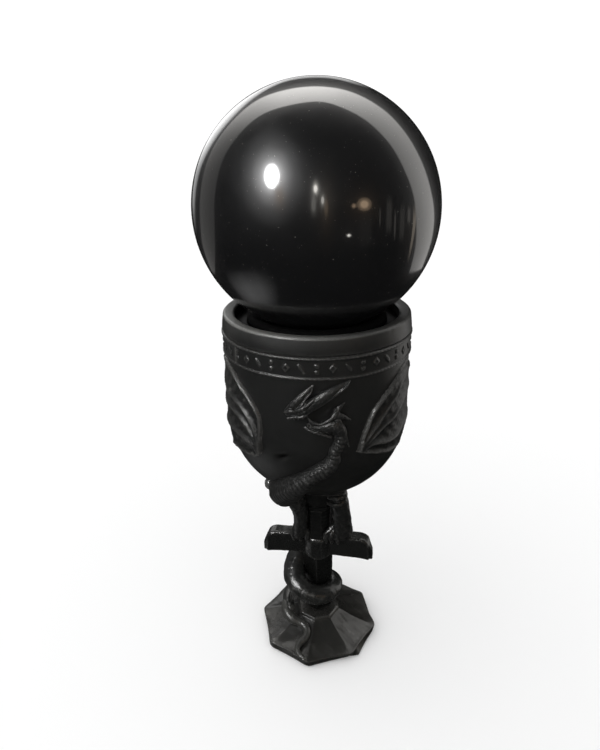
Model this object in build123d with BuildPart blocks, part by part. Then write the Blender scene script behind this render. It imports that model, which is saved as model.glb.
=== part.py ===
from build123d import *
import os
from math import cos, pi, radians, sin, sqrt

os.makedirs("parts", exist_ok=True)

# A black crystal ball on a small cast goblet. A dragon sits on a sword that is the goblet's stem.
# Frame: origin on the floor at the centre of the foot, +Z up, the dragon's head faces -Y,
# and the sword's guard runs along X. Every length is in millimetres.

# ---------------------------------------------------------------- driving dimensions
ball_diameter = 60.0          # the ball's standard size

bowl_radius = 24.0            # outside of the bowl's straight wall
bowl_wall = 3.0
bowl_straight_height = 27.5   # from the lip down to where the bottom starts to round in
bowl_base_radius = 9.5        # flat that sits on the pommel
bowl_floor = 6.0              # cast thickness under the hollow
lip_height = 4.5              # thicker, rounded band at the mouth
lip_flare = 0.4               # how far the lip stands out from the wall

band_height = 5.6             # decorated strip below the lip
band_field = 0.25             # thickness of the strip between its two beads
band_bead = 0.55              # how far the beads stand out
bead_width = 1.0

seat_tube_radius = 1.5        # rubber ring that carries the ball
seat_ring_radius = 16.5
seat_ring_drop = 2.126        # the rubber ring's centre lies this far below the lip
collar_height = 3.0           # ring bonded in the mouth, with the groove for the rubber
collar_lip_drop = 2.8         # its top face lies this far below the lip
collar_bore_radius = 14.2
seat_gap = 0.25               # rubber to ball, and rubber to groove

pommel_height = 10.0
pommel_radius = 5.4
pommel_neck_radius = 3.9      # at its top and bottom
grip_length = 9.5
grip_radius = 4.3
grip_sides = 8
guard_height = 7.4
guard_half_length = 15.8
guard_thickness = 4.2
guard_block_radius = 4.6      # eight-sided block in the guard's middle
guard_shoulder_length = 2.2   # sloping top corner of each end, along and down
guard_shoulder_drop = 1.8
guard_end_hollow = 0.6        # how far the end's side is cut in above the flare
guard_flare_height = 1.6
guard_end_flare = 0.5
blade_length = 19.1
blade_half_width = 4.6
blade_half_thickness = 3.4
blade_taper = 0.6             # how much narrower each side is at the foot
foot_clearance = 0.3          # the rim hangs this far above the floor; the pad carries the foot
foot_edge = 2.1               # height of the rim's side
foot_rise = 5.1               # from the rim's top edge to where the blade stands
foot_corner_radius = 17.5
foot_bend_radius = 12.4       # the ridges steepen here, so that each facet is hollow
foot_bend_rise = 1.5          # height of that bend above the rim's top edge
foot_top_radius = 6.4
foot_scallop = 0.4            # how far each side curves in from straight
foot_sides = 8
pad_thickness = 0.8
pad_inset = 2.6
pad_clearance = 0.1           # round the pad, in its pocket

rod_radius = 1.5              # steel rod that ties the castings together
rod_clearance = 0.05
rod_stand_out = 1.0           # thread showing past each nut
nut_across_flats = 5.5
nut_height = 2.4
washer_radius = 3.5
washer_thickness = 0.5
well_clearance = 0.4          # round the nut and washer, in the foot

wing_relief = 1.1             # how far the wings stand off the bowl
head_relief = 3.0             # how far the dragon's head stands off the bowl

# ---------------------------------------------------------------- heights, from the floor up
foot_bottom_z = foot_clearance
foot_rim_z = foot_bottom_z + foot_edge
foot_top_z = foot_rim_z + foot_rise
guard_bottom_z = foot_top_z + blade_length
guard_top_z = guard_bottom_z + guard_height
grip_top_z = guard_top_z + grip_length
bowl_base_z = grip_top_z + pommel_height
bowl_round_z = bowl_base_z + sqrt(bowl_radius**2 - bowl_base_radius**2)
lip_z = bowl_round_z + bowl_straight_height
ball_radius = ball_diameter / 2

inner_radius = bowl_radius - bowl_wall
inner_floor_z = bowl_base_z + bowl_floor
lip_radius = bowl_radius + lip_flare
lip_bottom_z = lip_z - lip_height
band_bottom_z = lip_bottom_z - band_height
collar_top_z = lip_z - collar_lip_drop
collar_bottom_z = collar_top_z - collar_height
ring_z = lip_z - seat_ring_drop
ring_reach = ball_radius + seat_tube_radius + seat_gap
ball_z = ring_z + sqrt(ring_reach**2 - seat_ring_radius**2)
rod_bore_radius = rod_radius + rod_clearance
well_radius = washer_radius + well_clearance
well_depth = washer_thickness + nut_height + rod_stand_out
well_top_z = pad_thickness + well_depth
rod_bottom_z = pad_thickness
rod_top_z = inner_floor_z + washer_thickness + nut_height + rod_stand_out


def finish(builder, name):
    """Name a finished piece and write its STEP file."""
    builder.part.label = name
    export_step(builder.part, f"parts/{name}.step")


def outer_skin(stand_off):
    """Half outline, on the XZ plane, of the bowl's outside moved out by stand_off."""
    radius = bowl_radius + stand_off
    low_z = bowl_round_z - sqrt(radius**2 - bowl_base_radius**2)
    mid = (radius * cos(pi / 4), bowl_round_z - radius * sin(pi / 4))
    with BuildSketch(Plane.XZ) as outline:
        with BuildLine():
            Line((0, low_z), (bowl_base_radius, low_z))
            ThreePointArc((bowl_base_radius, low_z), mid, (radius, bowl_round_z))
            Line((radius, bowl_round_z), (radius, lip_z))
            Line((radius, lip_z), (0, lip_z))
            Line((0, lip_z), (0, low_z))
        make_face()
    return outline.sketch


def limb(path):
    """A tapering limb through (x, y, z, radius) points: a ball at each, a cone between each two."""
    for start, end in zip(path, path[1:]):
        a = Vector(*start[:3])
        b = Vector(*end[:3])
        with Locations(Plane(origin=(a + b) / 2, z_dir=b - a)):
            Cone(start[3], end[3], (b - a).length)
    for point in path:
        with Locations(point[:3]):
            Sphere(point[3])


# ---------------------------------------------------------------- ball and its seat
with BuildPart() as crystal_ball:
    with Locations((0, 0, ball_z)):
        Sphere(ball_radius)
finish(crystal_ball, "crystal_ball")

with BuildPart() as seat_ring:
    with Locations((0, 0, ring_z)):
        Torus(seat_ring_radius, seat_tube_radius)
finish(seat_ring, "seat_ring")

with BuildPart() as seat_collar:
    with BuildSketch(Plane.XY.offset(collar_bottom_z)):
        Circle(inner_radius)
        Circle(collar_bore_radius, mode=Mode.SUBTRACT)
    extrude(amount=collar_height)
    with Locations((0, 0, ring_z)):
        Torus(seat_ring_radius, seat_tube_radius + seat_gap, mode=Mode.SUBTRACT)
finish(seat_collar, "seat_collar")

# ---------------------------------------------------------------- bowl
with BuildPart() as bowl_envelope:
    revolve(outer_skin(0), axis=Axis.Z)

with BuildPart() as bowl:
    add(bowl_envelope.part)
    with BuildSketch(Plane.XY.offset(lip_bottom_z)):
        Circle(lip_radius)
    extrude(amount=lip_height)
    with BuildSketch(Plane.XZ):
        with BuildLine():
            inner_low = Vector(0, inner_floor_z)
            inner_corner = Vector(inner_radius, bowl_round_z)
            rise = bowl_round_z - inner_floor_z
            Line(inner_low, (0, lip_z))
            Line((0, lip_z), (inner_radius, lip_z))
            Line((inner_radius, lip_z), inner_corner)
            EllipticalCenterArc((0, bowl_round_z), inner_radius, rise, start_angle=270, arc_size=90)
        make_face()
    revolve(axis=Axis.Z, mode=Mode.SUBTRACT)
    mouth_edges = bowl.edges().filter_by(GeomType.CIRCLE).filter_by_position(
        Axis.Z, lip_z - 0.01, lip_z + 0.01
    )
    fillet(mouth_edges, radius=(lip_radius - inner_radius) / 2 - 0.05)
    with BuildSketch(Plane.XY.offset(bowl_base_z)):
        Circle(rod_bore_radius)
    extrude(amount=bowl_floor, mode=Mode.SUBTRACT)
    with BuildSketch(Plane.XY.offset(inner_floor_z)):
        Circle(well_radius)
    extrude(amount=washer_thickness + nut_height, mode=Mode.SUBTRACT)
finish(bowl, "bowl")

with BuildPart() as rim_band:
    with BuildSketch(Plane.XZ):
        with BuildLine():
            field = bowl_radius + band_field
            proud = bowl_radius + band_bead
            Polyline(
                (bowl_radius, lip_bottom_z),
                (proud, lip_bottom_z),
                (proud, lip_bottom_z - bead_width),
                (field, lip_bottom_z - bead_width),
                (field, band_bottom_z + bead_width),
                (proud, band_bottom_z + bead_width),
                (proud, band_bottom_z),
                (bowl_radius, band_bottom_z),
                close=True,
            )
        make_face()
    revolve(axis=Axis.Z)
finish(rim_band, "rim_band")

# ---------------------------------------------------------------- wings, in low relief on the bowl's sides
# Outline seen from the side, as shares: distance towards the back, of the bowl's radius, and height
# above where the bowl's bottom starts to round in, of the rise from there to the band.
wing_front = [(-0.86, -0.29), (-0.89, 0.23), (-0.81, 0.63), (-0.6, 0.91)]
wing_top = [(-0.33, 1.0), (0.11, 0.78)]
wing_tips = [(0.24, 0.38), (0.11, -0.08), (-0.25, -0.48)]
scallop_depth = 2.0


def on_wing(points):
    """Turn points given as shares into places on the YZ plane."""
    rise = band_bottom_z - bowl_round_z
    return [(back * bowl_radius, bowl_round_z + up * rise) for back, up in points]


def wing(name, side):
    """One wing: the bowl's skin made thicker, cut to the wing's outline. side is -1 left, +1 right."""
    with BuildPart() as piece:
        revolve(outer_skin(wing_relief), axis=Axis.Z)
        add(bowl_envelope.part, mode=Mode.SUBTRACT)
        with BuildSketch(Plane.YZ):
            with BuildLine():
                points = on_wing(wing_front + wing_top)
                Polyline(*points)
                tips = [points[-1]] + on_wing(wing_tips) + [points[0]]
                for start, end in zip(tips, tips[1:]):
                    mid = (Vector(*start) + Vector(*end)) / 2
                    ThreePointArc(start, mid + Vector(0, scallop_depth), end)
            make_face()
        extrude(amount=side * ball_diameter, mode=Mode.INTERSECT)
    finish(piece, name)
    return piece


wing_left = wing("wing_left", -1)
wing_right = wing("wing_right", 1)

# ---------------------------------------------------------------- sword, from the pommel down
with BuildPart() as pommel:
    with BuildSketch(Plane.XZ):
        with BuildLine():
            pommel_low = Vector(pommel_neck_radius, grip_top_z)
            pommel_high = Vector(pommel_neck_radius, bowl_base_z)
            Line((0, grip_top_z), pommel_low)
            ThreePointArc(pommel_low, (pommel_radius, (grip_top_z + bowl_base_z) / 2), pommel_high)
            Line(pommel_high, (0, bowl_base_z))
            Line((0, bowl_base_z), (0, grip_top_z))
        make_face()
    revolve(axis=Axis.Z)
    with BuildSketch(Plane.XY.offset(grip_top_z)):
        Circle(rod_bore_radius)
    extrude(amount=pommel_height, mode=Mode.SUBTRACT)
finish(pommel, "sword_pommel")

with BuildPart() as grip:
    with BuildSketch(Plane.XY.offset(guard_top_z)):
        RegularPolygon(grip_radius, grip_sides, rotation=180 / grip_sides)
        Circle(rod_bore_radius, mode=Mode.SUBTRACT)
    extrude(amount=grip_length)
finish(grip, "sword_grip")

with BuildPart() as guard:
    with BuildSketch(Plane.XZ.offset(-guard_thickness / 2)):
        with BuildLine():
            half = [
                (0, guard_top_z),
                (guard_half_length - guard_shoulder_length, guard_top_z),
                (guard_half_length, guard_top_z - guard_shoulder_drop),
                (guard_half_length - guard_end_hollow, guard_bottom_z + guard_flare_height),
                (guard_half_length + guard_end_flare, guard_bottom_z),
                (0, guard_bottom_z),
            ]
            Polyline(*half)
            Polyline(*[(-x, z) for x, z in half])
        make_face()
    extrude(amount=guard_thickness)
    with BuildSketch(Plane.XY.offset(guard_bottom_z)):
        RegularPolygon(guard_block_radius, grip_sides, rotation=180 / grip_sides)
    extrude(amount=guard_height)
    with BuildSketch(Plane.XY.offset(guard_bottom_z)):
        Circle(rod_bore_radius)
    extrude(amount=guard_height, mode=Mode.SUBTRACT)
finish(guard, "cross_guard")

with BuildPart() as blade:
    for height, trim in ((foot_top_z, blade_taper), (guard_bottom_z, 0)):
        with BuildSketch(Plane.XY.offset(height)):
            with BuildLine():
                half_width = blade_half_width - trim
                half_thick = blade_half_thickness - trim / 2
                Polyline((half_width, 0), (0, half_thick), (-half_width, 0), (0, -half_thick), close=True)
            make_face()
    loft()
    with BuildSketch(Plane.XY.offset(foot_top_z)):
        Circle(rod_bore_radius)
    extrude(amount=blade_length, mode=Mode.SUBTRACT)
finish(blade, "sword_blade")


# ---------------------------------------------------------------- foot and pad
def scalloped_octagon(height, radius, scallop):
    """Octagon with a corner at the front and each side curved in by scallop."""
    corners = [Vector(0, -radius).rotate(Axis.Z, 360 / foot_sides * i) for i in range(foot_sides)]
    with BuildSketch(Plane.XY.offset(height)) as outline:
        with BuildLine():
            for start, end in zip(corners, corners[1:] + corners[:1]):
                mid = (start + end) / 2
                ThreePointArc(start, mid - mid.normalized() * scallop, end)
        make_face()
    return outline.sketch


pad_radius = foot_corner_radius - pad_inset
with BuildPart() as foot:
    extrude(scalloped_octagon(foot_bottom_z, foot_corner_radius, foot_scallop), amount=foot_edge)
    slopes = []
    for height, radius in (
        (foot_rim_z, foot_corner_radius),
        (foot_rim_z + foot_bend_rise, foot_bend_radius),
        (foot_top_z, foot_top_radius),
    ):
        slopes.append(scalloped_octagon(height, radius, foot_scallop * radius / foot_corner_radius))
    loft(slopes, ruled=True)
    extrude(scalloped_octagon(0, pad_radius + pad_clearance, foot_scallop), amount=pad_thickness, mode=Mode.SUBTRACT)
    with BuildSketch(Plane.XY.offset(pad_thickness)):
        Circle(well_radius)
    extrude(amount=well_depth, mode=Mode.SUBTRACT)
    with BuildSketch(Plane.XY.offset(well_top_z)):
        Circle(rod_bore_radius)
    extrude(amount=foot_top_z - well_top_z, mode=Mode.SUBTRACT)
finish(foot, "foot")

with BuildPart() as base_pad:
    extrude(scalloped_octagon(0, pad_radius, foot_scallop), amount=pad_thickness)
finish(base_pad, "base_pad")

# ---------------------------------------------------------------- steel rod, nuts and washers
with BuildPart() as tie_rod:
    with BuildSketch(Plane.XY.offset(rod_bottom_z)):
        Circle(rod_radius)
    extrude(amount=rod_top_z - rod_bottom_z)
finish(tie_rod, "tie_rod")


def fastener(name, base_z, height, hexagonal):
    """A washer or a nut on the rod, with its lower face at base_z."""
    with BuildPart() as piece:
        with BuildSketch(Plane.XY.offset(base_z)):
            if hexagonal:
                RegularPolygon(nut_across_flats / 2, 6, major_radius=False)
            else:
                Circle(washer_radius)
            Circle(rod_bore_radius, mode=Mode.SUBTRACT)
        extrude(amount=height)
    finish(piece, name)
    return piece


bottom_washer = fastener("bottom_washer", well_top_z - washer_thickness, washer_thickness, False)
bottom_nut = fastener("bottom_nut", well_top_z - washer_thickness - nut_height, nut_height, True)
top_washer = fastener("top_washer", inner_floor_z, washer_thickness, False)
top_nut = fastener("top_nut", inner_floor_z + washer_thickness, nut_height, True)

# ---------------------------------------------------------------- dragon
# The whole stem without its bore, so that nothing of the dragon is left inside the bore.
with BuildPart() as stem_envelope:
    for piece in (pommel, grip, guard, blade):
        add(piece.part)
    with BuildSketch(Plane.XY.offset(foot_top_z)):
        Circle(rod_bore_radius)
    extrude(amount=bowl_base_z - foot_top_z)


def from_bowl(points):
    """Move (x, y, height, radius) points so that height counts from the bowl's base."""
    return [(x, y, bowl_base_z + height, radius) for x, y, height, radius in points]


def before_bowl(points):
    """Place (x, height above the bowl's base, stand-off from its wall, radius) points on its front."""
    placed = []
    for x, height, stand_off, radius in points:
        z = bowl_base_z + height
        drop = min(z - bowl_round_z, 0)
        placed.append((x, -sqrt((bowl_radius + stand_off) ** 2 - drop**2 - x**2), z, radius))
    return placed


# Shoulders under the bowl, then the back, which goes down behind the grip and the guard.
shoulder_path = from_bowl([(-6.0, -15.4, 4.3, 3.6), (-7.6, -8.8, 1.3, 4.3), (-6.2, -2.0, -3.5, 3.9)])
back_path = from_bowl([(-3.0, 5.0, -8.5, 3.8)]) + [(0.6, 7.2, guard_top_z + 4.5, 3.3)]
rump_path = [(1.6, 7.0, guard_top_z - 1.0, 2.9), (1.9, 6.4, guard_bottom_z + 0.9, 2.8)]
with BuildPart() as dragon_body:
    limb(shoulder_path + back_path + rump_path)
    add(bowl_envelope.part, mode=Mode.SUBTRACT)
    add(stem_envelope.part, mode=Mode.SUBTRACT)
finish(dragon_body, "dragon_body")

neck_points = [
    (9.0, 26.1, 0.9, 1.2),
    (8.8, 23.8, 0.9, 1.35),
    (7.7, 21.7, 0.9, 1.4),
    (7.3, 19.5, 1.0, 1.6),
    (5.9, 17.4, 1.1, 1.85),
    (3.6, 15.8, 1.1, 1.95),
    (1.3, 13.8, 1.2, 2.1),
    (-1.3, 11.1, 1.0, 2.8),
    (-3.9, 8.1, 0.6, 3.6),
    (-6.2, 4.7, 0.2, 4.1),
]
with BuildPart() as dragon_neck:
    limb(before_bowl(neck_points))
    add(bowl_envelope.part, mode=Mode.SUBTRACT)
    add(dragon_body.part, mode=Mode.SUBTRACT)
finish(dragon_neck, "dragon_neck")

# Head in profile, as (x, height above the bowl's base): snout, open mouth, jaw, throat, swept horns.
head_outline = [
    (-4.2, 31.8),
    (-2.9, 30.3),
    (1.0, 31.0),
    (4.4, 30.2),
    (1.0, 28.9),
    (0.7, 27.7),
    (4.2, 26.3),
    (7.6, 24.6),
    (8.0, 22.4),
    (11.0, 21.8),
    (10.7, 27.0),
    (11.7, 29.4),
    (9.0, 32.0),
    (7.6, 34.0),
    (11.2, 39.2),
    (4.2, 37.3),
    (2.2, 35.4),
    (3.1, 38.9),
    (-1.7, 35.1),
]
with BuildPart() as dragon_head:
    revolve(outer_skin(head_relief), axis=Axis.Z)
    add(bowl_envelope.part, mode=Mode.SUBTRACT)
    with BuildSketch(Plane.XZ):
        with BuildLine():
            Polyline(*[(x, bowl_base_z + height) for x, height in head_outline], close=True)
        make_face()
    extrude(amount=ball_diameter, mode=Mode.INTERSECT)
    add(dragon_neck.part, mode=Mode.SUBTRACT)
finish(dragon_head, "dragon_head")

ankle_z = guard_top_z + 1.6
leg_paths = {
    "leg_left": from_bowl([(-5.8, -4.2, -5.1, 3.0), (-4.6, -3.9, -9.5, 2.3)]) + [(-5.0, -2.6, ankle_z, 2.2)],
    "leg_right": from_bowl([(5.0, -1.6, -2.1, 3.2), (6.4, -2.2, -6.9, 2.7)]) + [(7.4, -1.4, ankle_z, 2.8)],
}
for leg_name, leg_path in leg_paths.items():
    with BuildPart() as leg:
        limb(leg_path)
        add(bowl_envelope.part, mode=Mode.SUBTRACT)
        add(dragon_body.part, mode=Mode.SUBTRACT)
        add(dragon_neck.part, mode=Mode.SUBTRACT)
        add(stem_envelope.part, mode=Mode.SUBTRACT)
    finish(leg, leg_name)

# The tail winds round the blade as it comes down, wider at the foot, and ends on the foot's front.
coil_steps = 16
coil_start = 75.0             # degrees anticlockwise from +X, seen from above
coil_sweep = 500.0
coil_shift = -1.3             # the coil's middle, across
coil_width = 6.0              # half the coil's size across and from front to back, at its top
coil_depth = 5.8
coil_spread = 2.0             # how much wider it is at the foot
coil_tilt = 2.2               # how much lower its first turn is in front than behind
coil_ease = 0.85              # under 1, the tail comes down faster at first
coil_top_drop = 1.9           # below the guard
coil_low_rise = 1.1           # above the foot's top
tail_root_radius = 3.1
tail_thin_radius = 1.45
coil_top_z = guard_bottom_z - coil_top_drop
coil_low_z = foot_top_z + coil_low_rise
coil_path = []
for step in range(coil_steps + 1):
    along = step / coil_steps
    turn = radians(coil_start + coil_sweep * along)
    wider = coil_spread * along**2
    height = coil_top_z + (coil_low_z - coil_top_z) * along**coil_ease + coil_tilt * (1 - along) * sin(turn)
    tail_radius = tail_root_radius + (tail_thin_radius - tail_root_radius) * along
    x = coil_shift + (coil_width + wider) * cos(turn)
    coil_path.append((x, (coil_depth + wider) * sin(turn), height, tail_radius))

with BuildPart() as dragon_tail:
    limb(coil_path)
    add(foot.part, mode=Mode.SUBTRACT)
    add(stem_envelope.part, mode=Mode.SUBTRACT)
    add(dragon_body.part, mode=Mode.SUBTRACT)
finish(dragon_tail, "dragon_tail")

# Loose end of the tail, down to the front corner, as (x and y as shares of the foot's corner radius,
# height above its rim, radius).
tail_end = [
    (-0.49, -0.31, 5.6, 1.45),
    (-0.39, -0.39, 4.7, 1.25),
    (-0.27, -0.41, 4.0, 1.0),
    (-0.18, -0.45, 3.6, 0.85),
    (-0.12, -0.53, 3.0, 0.8),
    (-0.13, -0.63, 2.4, 0.76),
    (-0.2, -0.72, 1.8, 0.72),
    (-0.23, -0.82, 1.25, 0.66),
    (-0.19, -0.9, 0.75, 0.6),
    (-0.1, -0.95, 0.45, 0.5),
]
with BuildPart() as tail_tip:
    limb([(x * foot_corner_radius, y * foot_corner_radius, foot_rim_z + height, radius)
          for x, y, height, radius in tail_end])
    add(foot.part, mode=Mode.SUBTRACT)
    add(dragon_tail.part, mode=Mode.SUBTRACT)
finish(tail_tip, "tail_tip")
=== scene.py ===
"""Looks of a black crystal ball in a small cast goblet, whose stem is a sword with a dragon round it."""

import math

import bpy
import numpy as np
from mathutils import Matrix, Vector


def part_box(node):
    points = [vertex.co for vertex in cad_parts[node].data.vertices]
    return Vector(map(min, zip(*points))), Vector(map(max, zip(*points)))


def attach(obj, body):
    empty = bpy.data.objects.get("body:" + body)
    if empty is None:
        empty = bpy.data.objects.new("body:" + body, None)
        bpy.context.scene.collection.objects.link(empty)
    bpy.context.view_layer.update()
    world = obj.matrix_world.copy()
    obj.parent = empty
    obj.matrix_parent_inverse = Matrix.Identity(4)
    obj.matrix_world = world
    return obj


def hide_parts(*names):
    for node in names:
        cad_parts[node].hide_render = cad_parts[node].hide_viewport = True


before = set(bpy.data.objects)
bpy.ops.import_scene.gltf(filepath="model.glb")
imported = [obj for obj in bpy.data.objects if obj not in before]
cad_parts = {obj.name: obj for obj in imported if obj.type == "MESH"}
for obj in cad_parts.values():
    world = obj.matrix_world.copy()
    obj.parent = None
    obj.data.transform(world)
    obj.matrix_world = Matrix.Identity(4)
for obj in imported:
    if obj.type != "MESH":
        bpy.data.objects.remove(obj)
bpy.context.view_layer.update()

bl_info = {
    "name": "Dragon goblet and crystal ball",
    "version": (1, 0, 0),
    "blender": (4, 5, 0),
    "location": "3D View > Sidebar > Crystal Ball",
    "description": "Builds the sculpted goblet, its polished ball and a plain studio round the CAD frame",
    "category": "Object",
}

MM = 0.001  # the geometry below is worked out in millimetres


# ------------------------------------------------------------------ measures taken from the frame
def node_box(node):
    """Lowest and highest corner of a CAD node, in millimetres."""
    low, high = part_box(node)
    return np.array(low) / MM, np.array(high) / MM


BALL_LOW, BALL_HIGH = node_box("crystal_ball")
BOWL_LOW, BOWL_HIGH = node_box("bowl")
BAND_LOW, BAND_HIGH = node_box("rim_band")
GUARD_LOW, GUARD_HIGH = node_box("cross_guard")
GRIP_LOW, GRIP_HIGH = node_box("sword_grip")
POMMEL_LOW, POMMEL_HIGH = node_box("sword_pommel")
BLADE_LOW, BLADE_HIGH = node_box("sword_blade")
FOOT_LOW, FOOT_HIGH = node_box("foot")
WASHER_LOW, WASHER_HIGH = node_box("top_washer")
PAD_HIGH = node_box("base_pad")[1]
ROD_HIGH = node_box("tie_rod")[1]
COLLAR_HIGH = node_box("seat_collar")[1]

BALL_RADIUS = (BALL_HIGH[2] - BALL_LOW[2]) / 2
BALL_HEIGHT = (BALL_HIGH[2] + BALL_LOW[2]) / 2
LIP_HEIGHT = BOWL_HIGH[2]
LIP_RADIUS = BOWL_HIGH[0]
LIP_FLARE = 0.4
WALL_RADIUS = LIP_RADIUS - LIP_FLARE
BOWL_BASE = BOWL_LOW[2]
BASE_RADIUS = 9.5
ROUND_HEIGHT = BOWL_BASE + math.sqrt(WALL_RADIUS**2 - BASE_RADIUS**2)
INNER_RADIUS = COLLAR_HIGH[0]
INNER_FLOOR = WASHER_LOW[2]
GUARD_THICKNESS = 4.2
FOOT_EDGE = 2.1
FOOT_WELL_TOP = node_box("bottom_washer")[1][2]
BORE_RADIUS = ROD_HIGH[0] + 0.05


# ------------------------------------------------------------------ settings
class BallSettings(bpy.types.PropertyGroup):
    """The polished ball."""

    colour: bpy.props.FloatVectorProperty(
        name="Colour", description="Body colour of the black glass", subtype="COLOR",
        size=3, default=(0.004, 0.004, 0.0045), min=0, max=1)
    polish: bpy.props.FloatProperty(
        name="Polish roughness", description="Roughness of the polished surface",
        default=0.012, min=0, max=1, subtype="FACTOR")
    haze: bpy.props.FloatProperty(
        name="Haze roughness", description="Roughness of the faint haze under the polish",
        default=0.3, min=0, max=1, subtype="FACTOR")


class ResinSettings(bpy.types.PropertyGroup):
    """The cast black resin of the goblet and the dragon."""

    colour: bpy.props.FloatVectorProperty(
        name="Colour", description="Colour of the resin", subtype="COLOR",
        size=3, default=(0.0055, 0.0058, 0.0054), min=0, max=1)
    # Rubbed colour lightens edges and high points: partly handling wear, partly a painted highlight where light catches
    # them.
    rubbed: bpy.props.FloatVectorProperty(
        name="Rubbed colour", description="Colour where handling has rubbed the high points", subtype="COLOR",
        size=3, default=(0.05, 0.049, 0.046), min=0, max=1)
    roughness: bpy.props.FloatProperty(
        name="Roughness", description="Middle roughness of the satin surface",
        default=0.42, min=0, max=1, subtype="FACTOR")
    grain: bpy.props.FloatProperty(
        name="Grain depth", description="Depth of the casting's fine grain",
        default=0.00004, min=0, max=0.001, unit="LENGTH", precision=6)


class StageSettings(bpy.types.PropertyGroup):
    """Floor, light and camera."""

    floor_colour: bpy.props.FloatVectorProperty(
        name="Floor colour", description="Pale colour of the floor", subtype="COLOR",
        size=3, default=(0.93, 0.93, 0.93), min=0, max=1)
    camera_distance: bpy.props.FloatProperty(
        name="Camera distance", description="From the stem's axis, along the floor",
        default=0.14838, min=0.05, max=2, unit="LENGTH")
    camera_height: bpy.props.FloatProperty(
        name="Camera height", description="Lens above the floor", default=0.14723, min=0, max=2, unit="LENGTH")
    camera_azimuth: bpy.props.FloatProperty(
        name="Camera azimuth", description="Round from the front, towards +X",
        default=math.radians(8.6), subtype="ANGLE")
    camera_pitch: bpy.props.FloatProperty(
        name="Camera pitch", description="How far the camera looks down", default=math.radians(19.24), subtype="ANGLE")
    camera_yaw: bpy.props.FloatProperty(
        name="Camera yaw", description="How far the camera looks off the stem", default=math.radians(0.38),
        subtype="ANGLE")
    camera_roll: bpy.props.FloatProperty(
        name="Camera roll", description="Tilt of the picture", default=math.radians(-0.41), subtype="ANGLE")
    lens: bpy.props.FloatProperty(
        name="Lens", description="Focal length in millimetres on a 36 mm sensor", default=28.8, min=10, max=200)
    key_power: bpy.props.FloatProperty(
        name="Key brightness", description="Brightness of the main soft light", default=60.0, min=0)


# ------------------------------------------------------------------ mesh helpers
def show(name, data):
    """An object for a mesh or a camera, linked to the scene."""
    piece = bpy.data.objects.new(name, data)
    bpy.context.scene.collection.objects.link(piece)
    return piece


def add_mesh(name, shells):
    """A smooth mesh object from [(points in millimetres, faces)], one for each closed shell."""
    faces, first = [], 0
    for points, shell_faces in shells:
        faces += [[first + i for i in face] for face in shell_faces]
        first += len(points)
    mesh = bpy.data.meshes.new(name)
    mesh.from_pydata((np.vstack([points for points, _ in shells]) * MM).tolist(), [], faces)
    mesh.validate()
    mesh.polygons.foreach_set("use_smooth", [True] * len(mesh.polygons))
    mesh.update()
    return show(name, mesh)


def settle(piece, body, slot, material, *nodes):
    """Give a new piece its material, its body, its slot, and the CAD nodes that it stands for."""
    piece.data.materials.clear()
    piece.data.materials.append(material)
    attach(piece, body)
    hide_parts(*nodes)
    return piece


def cast(piece, resin, name, *nodes, **look):
    """Settle a piece of the stand, with a resin of its own."""
    return settle(piece, "stand", "resin", cast_resin("satin_resin_" + name, resin, **look), *nodes)


def full_turn(count):
    """Evenly spaced angles once round."""
    return np.linspace(0, 2 * np.pi, count, endpoint=False)


def ring_at(radius, turn, height):
    """A level ring of points, with one radius for all its angles or one for each."""
    return np.stack([radius * np.cos(turn), radius * np.sin(turn), np.broadcast_to(height, turn.shape)], axis=1)


def grid_faces(rows, columns, wrap_rows=False, flip=False):
    """Four-sided faces between closed rings of points, ring by ring."""
    faces = []
    for r in range(rows if wrap_rows else rows - 1):
        near, far = r * columns, (r + 1) % rows * columns
        for c in range(columns):
            n = (c + 1) % columns
            a, b, d, e = near + c, near + n, far + c, far + n
            faces.append([a, d, e, b] if flip else [a, b, e, d])
    return faces


def close_ends(rows):
    """Points and faces of a limb from its rings of points, with a fan over each end."""
    around, points = len(rows[0]), np.vstack(rows)
    last = len(points)
    faces = grid_faces(len(rows), around)
    for c in range(around):
        n = (c + 1) % around
        faces += [[last, n, c], [last + 1, last - around + c, last - around + n]]
    return np.vstack([points, rows[0].mean(0), rows[-1].mean(0)]), faces


def lathe(profile, segments, relief):
    """A closed ring turned from a closed (radius, height) outline. relief(angle, height, radius) adds to the radius."""
    radius, height = (np.repeat(column[:, None], segments, axis=1) for column in np.array(profile, float).T)
    angles = full_turn(segments)
    radius = radius + relief(angles[None, :], height, radius)
    points = np.stack([radius * np.cos(angles), radius * np.sin(angles), height], axis=-1).reshape(-1, 3)
    return points, grid_faces(len(profile), segments, wrap_rows=True)


def smooth_path(points, count):
    """Evenly spaced points on a smooth curve through the given rows; each row may carry a radius too."""
    p = np.array(points, float)
    p = np.vstack([2 * p[0] - p[1], p, 2 * p[-1] - p[-2]])
    fine = []
    for i in range(1, len(p) - 2):
        t = np.linspace(0, 1, 40, endpoint=False)[:, None]
        a, b, c, d = p[i - 1], p[i], p[i + 1], p[i + 2]
        fine.append(0.5 * (2 * b + (c - a) * t + (2 * a - 5 * b + 4 * c - d) * t**2 + (3 * b - a - 3 * c + d) * t**3))
    fine = np.vstack(fine + [p[-2][None, :]])
    length = np.concatenate([[0], np.cumsum(np.linalg.norm(np.diff(fine[:, :3], axis=0), axis=1))])
    even = np.linspace(0, length[-1], count)
    return np.stack([np.interp(even, length, fine[:, k]) for k in range(fine.shape[1])], axis=1), even


def unit(v):
    """Rows of v made one unit long."""
    return v / np.maximum(np.linalg.norm(v, axis=-1, keepdims=True), 1e-12)


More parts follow.
